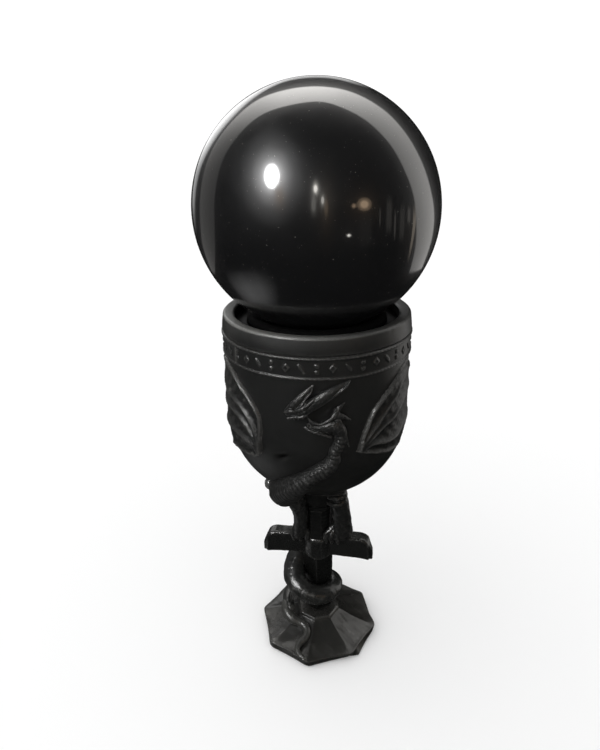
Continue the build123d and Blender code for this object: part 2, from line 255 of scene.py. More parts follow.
def tube(points, facing, rings, around, relief=None, flatten=1.0):
    """A closed limb through (x, y, z, radius) rows. facing is the direction, or one per ring, of angle zero.
    relief(length along, angle, radius) adds to the radius; flatten is the thickness along facing."""
    path, along = smooth_path(points, rings)
    centre, radius = path[:, :3], np.maximum(path[:, 3], 0.02)
    tangent = unit(np.gradient(centre, axis=0))
    front = np.array(facing(centre) if callable(facing) else np.tile(facing, (rings, 1)), float)
    front = unit(front - (front * tangent).sum(1)[:, None] * tangent)
    side = np.cross(tangent, front)
    turn = full_turn(around)
    grown = radius[:, None] * np.ones(around)
    if relief is not None:
        grown = grown + relief(along[:, None], turn[None, :], radius[:, None])
    offset = (front[:, None, :] * (np.cos(turn) * flatten)[None, :, None]
              + side[:, None, :] * np.sin(turn)[None, :, None]) * grown[:, :, None]
    body = centre[:, None, :] + offset
    caps = []
    for end, way in ((0, -1.0), (-1, 1.0)):
        dome = []
        for k in (0.45, 0.8, 0.97):
            lift = tangent[end] * way * radius[end] * math.sin(k * math.pi / 2)
            dome.append(centre[end] + lift + offset[end] * math.cos(k * math.pi / 2))
        caps.append(dome)
    return close_ends(caps[0][::-1] + list(body) + caps[1])


def knob(centre, radii, rings=20, around=28):
    """A closed egg shape with the given half sizes."""
    polar = np.linspace(0, np.pi, rings + 2)[1:-1]
    turn = full_turn(around)
    shell = np.stack([np.outer(np.sin(polar), np.cos(turn)), np.outer(np.sin(polar), np.sin(turn)),
                      np.outer(np.cos(polar), np.ones(around))], axis=-1).reshape(-1, 3)
    shell = np.vstack([shell, [0, 0, 1], [0, 0, -1]]) * np.array(radii, float)
    faces = grid_faces(rings, around, flip=True)
    top, bottom = rings * around, rings * around + 1
    for c in range(around):
        faces.append([top, c, (c + 1) % around])
        faces.append([bottom, (rings - 1) * around + (c + 1) % around, (rings - 1) * around + c])
    return shell + np.array(centre, float), faces


def fuse(name, shells, voxel, smoothing):
    """Overlapping shells melted into one skin, as a sculptor blends clay."""
    rough = add_mesh(name + "_rough", [(points / MM, faces) for points, faces in shells])
    remesh = rough.modifiers.new("skin", "REMESH")
    remesh.mode = "VOXEL"
    remesh.voxel_size = voxel
    soften = rough.modifiers.new("soften", "SMOOTH")
    soften.factor = 0.5
    soften.iterations = smoothing
    shown = rough.evaluated_get(bpy.context.evaluated_depsgraph_get())
    mesh = bpy.data.meshes.new_from_object(shown)
    mesh.name = name
    bpy.data.objects.remove(rough)
    mesh.transform(Matrix.Scale(MM, 4))
    mesh.polygons.foreach_set("use_smooth", [True] * len(mesh.polygons))
    return show(name, mesh)


def ripple(points, size, seed, waves=14):
    """A smooth uneven field between about -1 and 1, with bumps of the given size, at each point."""
    draw = np.random.default_rng(seed)
    ways = unit(draw.normal(size=(waves, 3))) * (2 * np.pi / size) * draw.uniform(0.6, 1.4, (waves, 1))
    phases = draw.uniform(0, 2 * np.pi, waves)
    return np.sin(points @ ways.T + phases).sum(1) / math.sqrt(waves)


def vectors(vertices, key):
    """One vector attribute of a mesh's vertices, as rows."""
    found = np.zeros(len(vertices) * 3)
    vertices.foreach_get(key, found)
    return found.reshape(-1, 3)


def roughen(piece, *waves, fade=None):
    """Move each point along its normal by ripples of (size, seed, height), in millimetres."""
    vertices = piece.data.vertices
    points, normals = vectors(vertices, "co") / MM, vectors(vertices, "normal")
    amount = sum(ripple(points, size, seed) * height for size, seed, height in waves)
    if fade:
        amount = amount * fade(points)
    vertices.foreach_set("co", ((points + normals * amount[:, None]) * MM).ravel())
    piece.data.update()
    return piece


def soft_step(value, low, high):
    """0 below low, 1 above high, smooth between."""
    t = np.clip((value - low) / (high - low), 0, 1)
    return t * t * (3 - 2 * t)


def line_distance(x, y, line):
    """Distance from each (x, y) to a line of points, and how far along the line the nearest point is, 0 to 1."""
    line = np.array(line, float)
    best = np.full(np.shape(x), 1e9)
    share = np.zeros(np.shape(x))
    pieces = len(line) - 1
    for i in range(pieces):
        a, b = line[i], line[i + 1]
        d = b - a
        t = np.clip(((x - a[0]) * d[0] + (y - a[1]) * d[1]) / (d @ d), 0, 1)
        gap = np.hypot(x - a[0] - t * d[0], y - a[1] - t * d[1])
        nearer = gap < best
        best = np.where(nearer, gap, best)
        share = np.where(nearer, (i + t) / pieces, share)
    return best, share


def inside_outline(x, y, outline):
    """Signed distance to a closed outline, positive inside."""
    outline = np.array(outline, float)
    edge, _ = line_distance(x, y, np.vstack([outline, outline[:1]]))
    within = np.zeros(np.shape(x), bool)
    for (x0, y0), (x1, y1) in zip(outline, np.roll(outline, -1, axis=0)):
        crosses = (y0 > y) != (y1 > y)
        with np.errstate(divide="ignore", invalid="ignore"):
            meet = x0 + (y - y0) * (x1 - x0) / (y1 - y0)
        within ^= crosses & (x < meet)
    return np.where(within, edge, -edge)


# ------------------------------------------------------------------ places on the bowl
def wall_radius(height):
    """Radius of the bowl's outside at a height."""
    below = np.clip(ROUND_HEIGHT - np.asarray(height, float), 0, WALL_RADIUS)
    return np.sqrt(np.maximum(WALL_RADIUS**2 - below**2, 1e-6))


def on_bowl_front(x, height, off):
    """A point in front of the bowl: x across, at a height, standing off the wall by off."""
    drop = min(height - ROUND_HEIGHT, 0.0)
    flat = math.sqrt(max((WALL_RADIUS + off) ** 2 - drop**2, 0.01))
    return (x, -math.sqrt(max(flat**2 - x**2, 0.01)), height)


def from_wall(centre):
    """Outward direction from the bowl's wall at each point."""
    low = centre.copy()
    low[:, 2] = np.minimum(centre[:, 2] - ROUND_HEIGHT, 0)
    return unit(low)


# ------------------------------------------------------------------ shader helpers
class Value:
    """A shader socket that Python's operators work on."""

    def __init__(self, graph, socket):
        self.graph = graph
        self.socket = socket

    def __add__(self, other):
        return self.graph.math("ADD", self, other)

    def __sub__(self, other):
        return self.graph.math("SUBTRACT", self, other)

    def __rsub__(self, other):
        return self.graph.math("SUBTRACT", other, self)

    def __mul__(self, other):
        return self.graph.math("MULTIPLY", self, other)

    __radd__ = __add__
    __rmul__ = __mul__


class Graph:
    """The node tree of a material or of the world."""

    def __init__(self, owner):
        self.owner = owner
        owner.use_nodes = True
        self.tree = owner.node_tree
        self.tree.nodes.clear()

    def node(self, kind, settings=None, output=0, **inputs):
        """Add a node: its type, its settings, then the values or links of its sockets (spaces as _)."""
        made = self.tree.nodes.new(kind)
        for key, value in (settings or {}).items():
            if key == "stops":
                ramp = made.color_ramp
                while len(ramp.elements) < len(value):
                    ramp.elements.new(1.0)
                for element, (place, shade) in zip(ramp.elements, value):
                    element.position = place
                    element.color = (shade, shade, shade, 1)
            else:
                setattr(made, key, value)
        for key, value in inputs.items():
            place = int(key[1:]) if key[0] == "_" and key[1:].isdigit() else key.replace("_", " ")
            self.feed(made.inputs[place], value)
        return Value(self, made.outputs[output]) if made.outputs else made

    def feed(self, socket, value):
        """Link a Value to a socket, or set the socket to a plain value."""
        if isinstance(value, Value):
            self.tree.links.new(value.socket, socket)
        elif hasattr(value, "__len__") and len(value) == 3 and socket.type == "RGBA":
            socket.default_value = (*value, 1)
        else:
            socket.default_value = value

    def math(self, operation, a, b):
        """One Math node."""
        return self.node("ShaderNodeMath", {"operation": operation}, _0=a, _1=b)

    def mix(self, share, low, high):
        """A colour between low and high."""
        return self.node("ShaderNodeMix", {"data_type": "RGBA"}, 2, _0=share, _6=low, _7=high)

    def attribute(self, name):
        """A measure that the mesh carries at each point."""
        return self.node("ShaderNodeAttribute", {"attribute_name": name}, "Fac")

    def place(self):
        """Object coordinates."""
        return self.node("ShaderNodeTexCoord", output="Object")

    def noise(self, place, scale, detail=3.0, roughness=0.55):
        """Cloudy noise; scale is in cycles per metre."""
        return self.node("ShaderNodeTexNoise", Vector=place, Scale=scale, Detail=detail, Roughness=roughness)

    def ramp(self, value, *stops):
        """Value through a ramp of (place, level) stops."""
        return self.node("ShaderNodeValToRGB", {"stops": stops}, Fac=value)

    def bump(self, height, depth):
        """A normal from a height of 0 to 1 and its depth in metres."""
        return self.node("ShaderNodeBump", Height=height, Distance=depth, Strength=1.0)

    def surface(self, **inputs):
        """The Principled shader and the material's output."""
        shader = self.node("ShaderNodeBsdfPrincipled", **inputs)
        self.node("ShaderNodeOutputMaterial", Surface=shader)
        return self.owner


DUST_COLOUR = (0.2, 0.19, 0.17)


def polished_glass(settings):
    """Black glass: a mirror polish over a faint haze, with dust, hairlines and specks."""
    g = Graph(bpy.data.materials.new("polished_black_glass"))
    place = g.place()
    cloud = g.noise(place, 60, 4)
    dust = g.ramp(g.noise(place, 2100, 2, 0.5), (0.0, 0.0), (0.715, 0.0), (0.76, 1.0))
    smear = g.ramp(g.noise(place, 140, 5, 0.65), (0.35, 0.0), (0.75, 1.0))
    colour = g.mix(dust * 0.5, settings.colour, DUST_COLOUR)
    rough = settings.haze + smear * 0.08
    return g.surface(Base_Color=colour, Roughness=rough, Specular_IOR_Level=0.32, IOR=1.5,
                     Coat_Weight=1.0 - dust * 0.8, Coat_Roughness=settings.polish, Coat_IOR=1.52,
                     Normal=g.bump(cloud, 0.000004))


GRAIN_SIZE = 0.35  # of the casting's surface
PAINTED_HIGHLIGHT_COLOUR = (0.17, 0.17, 0.16)  # painted highlight on the lip, lightest on the lit left front
PAINTED_SHADE_COLOUR = (0.0008, 0.0008, 0.0008)  # painted shade, near black, inside the bowl and in the dent on its front


def cast_resin(name, settings, gloss=0.0, rub=1.0, warm=0.0, sheen=0.5, tone=1.0, marks=False):
    """Satin black resin: cloudy sheen, fine casting grain, pin holes, and edges rubbed a little lighter."""
    g = Graph(bpy.data.materials.new(name))
    place = g.place()
    cloud = g.noise(place, 90, 4)
    fine = g.noise(place, 1 / (GRAIN_SIZE * MM), 3, 0.6)
    pits = g.ramp(g.noise(place, 900, 1, 0.4), (0.0, 0.0), (0.24, 0.0), (0.31, 1.0))
    edge = g.ramp(g.node("ShaderNodeNewGeometry", output="Pointiness"), (0.0, 0.0), (0.505, 0.0), (0.56, 1.0))
    speckle = g.ramp(g.noise(place, 2400, 2, 0.6), (0.38, 0.0), (0.62, 1.0))
    # Edges and relief made lighter: partly rubbed wear, partly a painted highlight.
    wear_and_highlight = edge * (0.35 + speckle * 0.65) * rub
    # tone makes this piece's copy of the resin lighter, as painted light, or darker, as painted shade.
    tint = [c * tone * (1 + warm * k) for c, k in zip(settings.colour, (0.7, 0.5, 0.3))]
    colour = g.mix(wear_and_highlight, g.mix(cloud, [c * 0.75 for c in tint], [c * 1.3 for c in tint]), settings.rubbed)
    rough = settings.roughness - gloss + (cloud - 0.5) * 0.16 + (fine - 0.5) * 0.12 - wear_and_highlight * 0.1
    metal = 0.0
    if marks:
        stain = g.attribute("stain")
        handled = g.attribute("handled")
        # Painted highlight along the lip's top edge and outer face.
        colour = g.mix(handled * (0.7 + speckle * 0.3), colour, PAINTED_HIGHLIGHT_COLOUR)
        # Painted shade: near black inside the bowl and in the dent on its front, and metallic below so it reflects
        # nothing there.
        colour = g.mix(stain, colour, PAINTED_SHADE_COLOUR)
        rough = rough + stain * 0.5 - handled * 0.06
        metal = stain * 0.92
    height = fine * 0.7 + pits * 0.3
    return g.surface(Base_Color=colour, Roughness=rough, Specular_IOR_Level=sheen, IOR=1.5, Metallic=metal,
                     Normal=g.bump(height, settings.grain))


def soft_rubber(name):
    """Black rubber with a dull bloom and a fine moulded grain."""
    g = Graph(bpy.data.materials.new(name))
    place = g.place()
    bloom = g.noise(place, 160, 4)
    grain = g.noise(place, 3200, 2)
    # Near black: the rubber's own black, darkened further as painted shade in the bowl's mouth.
    colour = g.mix(bloom, (0.0016, 0.0016, 0.0016), (0.004, 0.004, 0.004))
    return g.surface(Base_Color=colour, Roughness=0.7 + bloom * 0.25, Specular_IOR_Level=0.03,
                     Normal=g.bump(grain, 0.00003))


def plated_steel(name):
    """Zinc-plated steel, with turned lines and dull blotches."""
    g = Graph(bpy.data.materials.new(name))
    place = g.place()
    lines = g.node("ShaderNodeTexWave", {"wave_type": "BANDS", "bands_direction": "Z"}, Vector=place,
                   Scale=260.0, Distortion=0.8, Detail=2.0)
    blotch = g.noise(place, 420, 4)
    colour = g.mix(blotch, (0.36, 0.36, 0.37), (0.6, 0.6, 0.62))
    return g.surface(Base_Color=colour, Metallic=1.0, Roughness=0.28 + blotch * 0.22,
                     Normal=g.bump(lines, 0.0001))


# ------------------------------------------------------------------ ball and seat
BALL_CHIPS = [  # direction from the middle, size as a share of the radius, depth
    ((-0.09, -0.74, -0.61), 0.02, 0.12), ((0.42, -0.86, -0.27), 0.011, 0.1), ((0.2, 0.9, 0.35), 0.015, 0.1),
]


def make_ball(settings):
    """The polished ball, with the tiny chips and flats of a used one."""
    shell, faces = knob((0, 0, 0), (1, 1, 1), rings=150, around=300)
    depth = ripple(shell, 1.3, 5) * 0.004
    for way, size, deep in BALL_CHIPS:
        way = np.array(way) / np.linalg.norm(way)
        depth -= deep * np.exp(-(np.linalg.norm(shell - way, axis=1) / size) ** 2)
    radius = BALL_RADIUS - 0.01 + depth
    piece = add_mesh("polished_ball", [(shell * radius[:, None] + [0, 0, BALL_HEIGHT], faces)])
    return settle(piece, "ball", "ball", polished_glass(settings), "crystal_ball")


# ------------------------------------------------------------------ bowl and band
LIP_OUTER_ROUND, LIP_INNER_ROUND = 0.75, 0.9  # how round the lip's two top edges are


def arc(middle, height, across, up, start, end, count):
    """(radius, height) points on part of an ellipse; its angle runs from straight out to straight up."""
    return [(middle + across * math.cos(angle), height + up * math.sin(angle))
            for angle in np.linspace(start, end, count)]


def bowl_profile():
    """Closed (radius, height) outline of the bowl's wall, from the bore outwards, up, over and down inside."""
    right, low = math.pi / 2, BAND_HIGH[2]  # the lip stands on the band
    outer, inner = LIP_OUTER_ROUND, LIP_INNER_ROUND
    start = math.asin(BASE_RADIUS / WALL_RADIUS)
    outline = [(BORE_RADIUS, BOWL_BASE), (BASE_RADIUS * 0.5, BOWL_BASE)]
    outline += arc(0, ROUND_HEIGHT, WALL_RADIUS, WALL_RADIUS, start - right, 0, 60)
    outline += [(WALL_RADIUS, height) for height in np.arange(ROUND_HEIGHT + 0.5, low - 0.3, 0.5)]
    outline += [(WALL_RADIUS, low - 0.1), (WALL_RADIUS + 0.06, low + 0.05), (LIP_RADIUS - 0.12, low + 0.2)]
    face = low + 0.5
    outline += [(LIP_RADIUS - 0.02 - 0.3 * share**1.3, face + (LIP_HEIGHT - outer - face) * share)
                for share in np.linspace(0, 1, 9)]
    outline += arc(LIP_RADIUS - 0.32 - outer, LIP_HEIGHT - outer, outer, outer, 0.2, right, 9)
    outline += arc(INNER_RADIUS + inner, LIP_HEIGHT - 0.15 - inner, inner, inner, right, math.pi, 11)[1:]
    outline += [(INNER_RADIUS, height) for height in np.arange(LIP_HEIGHT - inner - 0.6, ROUND_HEIGHT, -1.2)]
    outline += arc(0, ROUND_HEIGHT, INNER_RADIUS, INNER_FLOOR - ROUND_HEIGHT, 0, right, 24)[:-2]
    outline += [(WASHER_HIGH[0] + 0.4, INNER_FLOOR), (BORE_RADIUS, INNER_FLOOR)]
    return outline


def leaf_dent(x, height):
    """How deep the leaf-shaped dent on the bowl's front is, 0 to 1."""
    across, up = x + 5.0, height - 72.4
    along, over = across * 0.93 + up * 0.36, up * 0.93 - across * 0.36
    return np.exp(-(np.abs(along) / 1.9) ** 3 - (np.abs(over) / np.clip(0.72 - 0.12 * along, 0.4, 1.0)) ** 3)


def bowl_unevenness(angle, height, radius):
    """A hand-cast wall: shallow waves outside, the lip's nicks, and the leaf-shaped dent on the front."""
    around = angle + np.zeros_like(height)
    x, y = radius * np.cos(around), radius * np.sin(around)
    flat = np.stack([x, y, height], axis=-1).reshape(-1, 3)
    wave = ripple(flat, 14, 3).reshape(height.shape) * 0.03 + ripple(flat, 3.2, 4).reshape(height.shape) * 0.012
    outside = soft_step(radius, WALL_RADIUS * 0.55, WALL_RADIUS * 0.8)
    dent = np.where((y < 0) & (radius > WALL_RADIUS * 0.85), leaf_dent(x, height), 0)
    nick = np.exp(-((x - 19.4) / 0.35) ** 2 - ((y + 13.0) / 0.9) ** 2) * soft_step(height, LIP_HEIGHT - 3, LIP_HEIGHT)
    return wave * outside - dent * 0.25 - nick * 0.35


def make_bowl(resin):
    """The bowl, turned from its wall's outline, then made uneven as a casting is."""
    shell = lathe(bowl_profile(), 300, bowl_unevenness)
    x, y, height = shell[0].T
    round_from = np.hypot(x, y)
    from_middle = np.hypot(round_from, np.minimum(height - ROUND_HEIGHT, 0))
    # Painted shade: the bowl's inside and the dent on its front are marked to be painted near black.
    inside = (from_middle < INNER_RADIUS + 0.4) & (height < LIP_HEIGHT - 0.7)
    stain = np.maximum(np.where(y < 0, leaf_dent(x, height) * (round_from > WALL_RADIUS * 0.85), 0), inside)
    # Painted highlight along the lip's inner top edge and outer face, strongest towards the lit left front.
    turn = np.degrees(np.arctan2(x, -y))
    lit_side = 0.16 + 0.84 * np.exp(-((turn + 38) / 42) ** 2) + 0.25 * np.exp(-((turn - 10) / 30) ** 2)
    edge = soft_step(height, LIP_HEIGHT - 0.75, LIP_HEIGHT - 0.2)
    outer = 0.12 * soft_step(height, BAND_HIGH[2] + 0.8, LIP_HEIGHT) * (round_from > WALL_RADIUS)
    piece = add_mesh("goblet_bowl", [shell])
    for name, value in (("stain", stain), ("handled", np.clip((edge + outer) * lit_side, 0, 1))):
        piece.data.attributes.new(name, "FLOAT", "POINT").data.foreach_set("value", value.astype(float))
    return cast(piece, resin, "bowl", "bowl", rub=0.7, marks=True)


BAND_UNITS = 42  # lozenges, leaves and dots once round


def band_relief(angle, height, radius):
    """Two rope-edged beads, with lozenges, slanted leaves and dots in turn between them."""
    low, high = BAND_LOW[2], BAND_HIGH[2]
    field = 0.12
    cord = 0.04 * np.sin(angle * WALL_RADIUS * 2 * np.pi / 1.1 + height * 3.0)
    upper = (0.42 + cord) * np.exp(-((height - high + 0.42) / 0.32) ** 4)
    lower = (0.3 + cord) * np.exp(-((height - low - 0.36) / 0.26) ** 4)
    place = angle * BAND_UNITS / (2 * np.pi)
    which = np.floor(place).astype(int) % 3
    across = (place % 1 - 0.5) * 2 * np.pi * WALL_RADIUS / BAND_UNITS
    up = height - (low + high) / 2
    swayed = np.abs(up + 0.12 * np.sin(angle * 17))
    lozenge = 1 - np.abs(across) / 1.15 - swayed / 1.35
    leaf = 1 - (np.abs(across * 0.8 + up * 0.6) / 0.45) ** 2 - ((up * 0.8 - across * 0.6) / 1.35) ** 2
    dots = 1 - ((across / 0.6) ** 2 + ((swayed - 0.75) / 0.55) ** 2)
    raised = 0.26 * soft_step(np.choose(which, [lozenge, leaf, dots]), 0.0, 0.45)
    groove = np.where(which == 0, 0.12 * soft_step(lozenge, 0.55, 0.75), 0)
    inside = radius < WALL_RADIUS + 0.05
    return np.where(inside, 0, field + np.maximum(upper, lower) + raised - groove)


def make_band(resin):
    """The raised strip below the lip."""
    low, high = BAND_LOW[2], BAND_HIGH[2]
    outline = [(WALL_RADIUS + 0.06, z) for z in np.linspace(low, high, 44)]
    outline += [(WALL_RADIUS - 0.2, high), (WALL_RADIUS - 0.2, low)]
    piece = add_mesh("patterned_band", [lathe(outline, 756, band_relief)])
    return cast(piece, resin, "band", "rim_band", rub=1.2)


# ------------------------------------------------------------------ wings
# Each finger of a wing as (degrees round from the front, height) points, from the wrist outwards.
WING_FINGERS = {
    -1: [
        [(25.8, 71.8), (25.2, 75.6), (24.6, 79.0), (25.4, 82.2), (29.5, 84.7), (35.4, 87.1), (41.6, 89.1),
         (48.0, 90.8), (57.0, 92.0), (69.0, 92.6)],
        [(26.4, 73.6), (28.2, 77.0), (32.3, 79.8), (37.2, 81.8), (43.9, 83.4), (54.5, 84.6), (70.0, 86.4),
         (91.0, 87.0)],
        [(26.8, 73.0), (28.6, 75.4), (32.8, 76.9), (36.8, 78.6), (43.5, 80.0), (52.5, 80.7), (70.0, 81.0),
         (96.0, 80.4)],
        [(27.0, 72.4), (29.5, 74.0), (36.0, 74.4), (45.0, 75.0), (60.0, 75.4), (86.0, 73.6)],
        [(27.4, 71.2), (30.0, 70.6), (36.0, 70.3), (43.0, 70.0), (55.0, 69.4), (68.0, 67.4)],
    ],
    1: [
        [(31.4, 73.6), (33.0, 76.0), (34.8, 78.1), (37.4, 80.6), (39.8, 82.8), (43.1, 84.5), (49.7, 86.8),
         (55.5, 88.4), (61.3, 89.9), (67.2, 91.3), (77.0, 92.6)],
        [(32.6, 74.6), (37.6, 77.0), (44.3, 79.9), (51.8, 83.1), (60.0, 85.3), (66.8, 87.2), (80.0, 88.8),
         (95.0, 89.2)],
        [(33.2, 74.4), (37.7, 75.9), (44.5, 77.7), (49.8, 78.9), (55.9, 79.4), (62.0, 80.6), (72.0, 81.8),
         (84.0, 83.4), (104.0, 83.6)],
        [(33.4, 74.0), (36.4, 74.8), (42.5, 75.0), (52.3, 74.0), (62.0, 73.8), (76.0, 74.6), (97.0, 75.2)],
        [(33.6, 73.4), (40.0, 72.4), (50.0, 71.0), (60.0, 69.8), (76.0, 68.6)],
    ],
}
WING_SCALLOP = 0.2  # how far each edge between two finger tips curves in, as a share of its length
WING_STEP = 0.27    # spacing of the relief's points
WING_ROUND = WALL_RADIUS * 0.9  # the wings are drawn on a wall unrolled at this radius
WING_FADE = (math.radians(52), math.radians(76))  # the relief gets shallower between these angles from the front
WING_FADED = 0.62   # and has lost this share of its height beyond them


def wing_flat(degrees, height):
    """Wing coordinates on the unrolled wall: distance round from the front, and height."""
    return np.radians(degrees) * WING_ROUND, height


def wing_outline(fingers):
    """Closed outline: along the leading finger, round the scalloped tips, and back along the last finger."""
    edge = list(fingers[0])
    tips = [finger[-1] for finger in fingers]
    heart = (fingers[0][0] + fingers[-1][0]) / 2
    for a, b in zip(tips, tips[1:]):
        pull = heart - (a + b) / 2
        pull = pull / np.linalg.norm(pull) * np.linalg.norm(b - a) * WING_SCALLOP
        edge += [a + (b - a) * share + pull * math.sin(math.pi * share) for share in np.linspace(0, 1, 9)[1:]]
    return np.array(edge + list(fingers[-1][::-1])[1:])


def wing_relief(u, v, depth, bones):
    """How far a wing stands off the wall at each place: skin sagging between its bones, wrist and rim."""
    ridge = np.zeros_like(u)
    nearest = np.full(u.shape, 1e9)
    for number, bone in enumerate(bones):
        gap, share = line_distance(u, v, bone)
        width = (0.72 if number == 0 else 0.62) * (1 - 0.3 * share)
        joint = 1 + 0.18 * np.exp(-((share - 0.45) / 0.06) ** 2)
        ridge = np.maximum(ridge, (1.0 - 0.3 * share) * joint * np.exp(-(gap / width) ** 2))
        nearest = np.minimum(nearest, gap)
    skin = 0.3 * soft_step(depth, 0.0, 0.7)
    sag = 0.22 * soft_step(nearest, 0.3, 3.2)
    fold = 0.05 * np.sin(u * 2.1 + v * 1.7) * soft_step(nearest, 0.6, 1.5)
    wrist_u, wrist_v = bones[2][0]
    wrist = 0.5 * np.exp(-(np.hypot(u - wrist_u - 0.4, v - wrist_v) / 1.5) ** 2)
    rim = 0.22 * np.exp(-((depth - 0.35) / 0.35) ** 2)
    height = np.clip(skin + 0.25 + ridge * 0.75 + wrist + rim - sag + fold, 0.08, 1.35)
    height = height * (1 - WING_FADED * soft_step(u / WING_ROUND, *WING_FADE))
    height = np.where(depth > 0, height * soft_step(depth, -0.05, 0.3), 0)
    grain = ripple(np.stack([u, v, height], axis=-1).reshape(-1, 3), 0.9, 8).reshape(height.shape)
    return height + grain * 0.03 * (height > 0.1)


def two_sheets(front, back, keep, flip):
    """A closed shell between two sheets of points, over the cells of their grid whose corners are all kept."""
    columns, count = keep.shape[1], keep.size
    faces, edges = [], {}
    for r, c in zip(*np.nonzero(keep[:-1, :-1] & keep[1:, :-1] & keep[:-1, 1:] & keep[1:, 1:])):
        a = int(r) * columns + int(c)
        quad = [a, a + 1, a + columns + 1, a + columns]
        if flip:
            quad.reverse()
        faces += [quad, [i + count for i in reversed(quad)]]
        for i, j in zip(quad, quad[1:] + quad[:1]):
            if (j, i) in edges:
                del edges[(j, i)]
            else:
                edges[(i, j)] = True
    faces += [[j, i, i + count, j + count] for i, j in edges]
    used, renumbered = np.unique(faces, return_inverse=True)
    return np.vstack([front, back])[used], renumbered.reshape(-1, 4).tolist()


def make_wing(side, resin):
    """One wing in low relief: finger bones, thin skin sagging between them, a knuckled wrist and scalloped edge."""
    fingers = [smooth_path([(*p, 0) for p in finger], 28)[0][:, :2] for finger in WING_FINGERS[side]]
    bones = [np.stack(wing_flat(*finger.T), axis=1) for finger in fingers]
    outline = np.stack(wing_flat(*wing_outline(fingers).T), axis=1)
    low, high = outline.min(0) - 0.4, outline.max(0) + 0.4
    columns, rows = (int(cells) for cells in (high - low) / WING_STEP)
    u, v = np.meshgrid(np.linspace(low[0], high[0], columns), np.linspace(low[1], high[1], rows))
    depth = inside_outline(u, v, outline)
    around = u / WING_ROUND * side

    def lift(off):
        slope = np.clip(ROUND_HEIGHT - v, 0, None) / WALL_RADIUS
        radius = wall_radius(v) + off * np.sqrt(1 - slope**2)
        return np.stack([radius * np.sin(around), -radius * np.cos(around), v - off * slope], axis=-1).reshape(-1, 3)

    front = lift(np.where(depth > 0, wing_relief(u, v, depth, bones), -0.12))
    back = lift(np.full_like(u, -0.35))
    word = "left" if side < 0 else "right"
    piece = add_mesh("wing_relief_" + word, [two_sheets(front, back, depth > -WING_STEP, side < 0)])
    return cast(piece, resin, "wing_" + word, "wing_" + word, rub=1.1, sheen=0.42 - 0.1 * side)


# ------------------------------------------------------------------ dragon skin patterns
SKIN_GRAIN = ((0.8, 21, 0.025), (2.6, 22, 0.04))  # ripples of the sculpted skin


def off_angle(turn, middle):
    """How far each angle is from the middle one, the shorter way round."""
    return np.abs((turn - middle + np.pi) % (2 * np.pi) - np.pi)


def scales(count, pitch, height):
    """Relief of overlapping scales: count round the limb, pitch along it."""
    def relief(along, turn, radius):
        row = np.floor(along / pitch)
        across = (turn / (2 * np.pi) * count + 0.5 * (row % 2)) % 1 - 0.5
        down = (along / pitch) % 1
        shingle = down * (1 - (2 * across) ** 2) * (1 - soft_step(down, 0.86, 1.0))
        return height * shingle * np.minimum(radius / 2.0, 1.2)
    return relief


def plates(pitch, height, middle, spread):
    """Relief of broad belly plates across the limb, centred on the angle middle."""
    def relief(along, turn, radius):
        on = 1 - soft_step(off_angle(turn, middle), spread * 0.8, spread)
        down = (along / pitch) % 1
        return height * on * (np.sin(np.pi * down) ** 0.6)
    return relief


def spines(pitch, height, middle, spread=0.22):
    """Relief of a row of small thorns along the angle middle."""
    def relief(along, turn, radius):
        down = (along / pitch) % 1
        thorn = np.clip(1 - np.abs(down - 0.65) / 0.45, 0, 1)
        return height * thorn * np.exp(-(off_angle(turn, middle) / spread) ** 2) * np.minimum(radius / 1.5, 1.2)
    return relief


def together(*reliefs):
    """The highest of several reliefs."""
    def relief(along, turn, radius):
        return np.maximum.reduce([r(along, turn, radius) for r in reliefs])
    return relief


# ------------------------------------------------------------------ dragon head and neck
def head_part(rows, around=20, rings=28, flatten=1.0):
    """A tapering part of the head through (x, height, stand-off, radius) rows on the bowl's front."""
    points = [(*on_bowl_front(x, z, off), r) for x, z, off, r in rows]
    return tube(points, (0, -1, 0), rings, around, None, flatten)


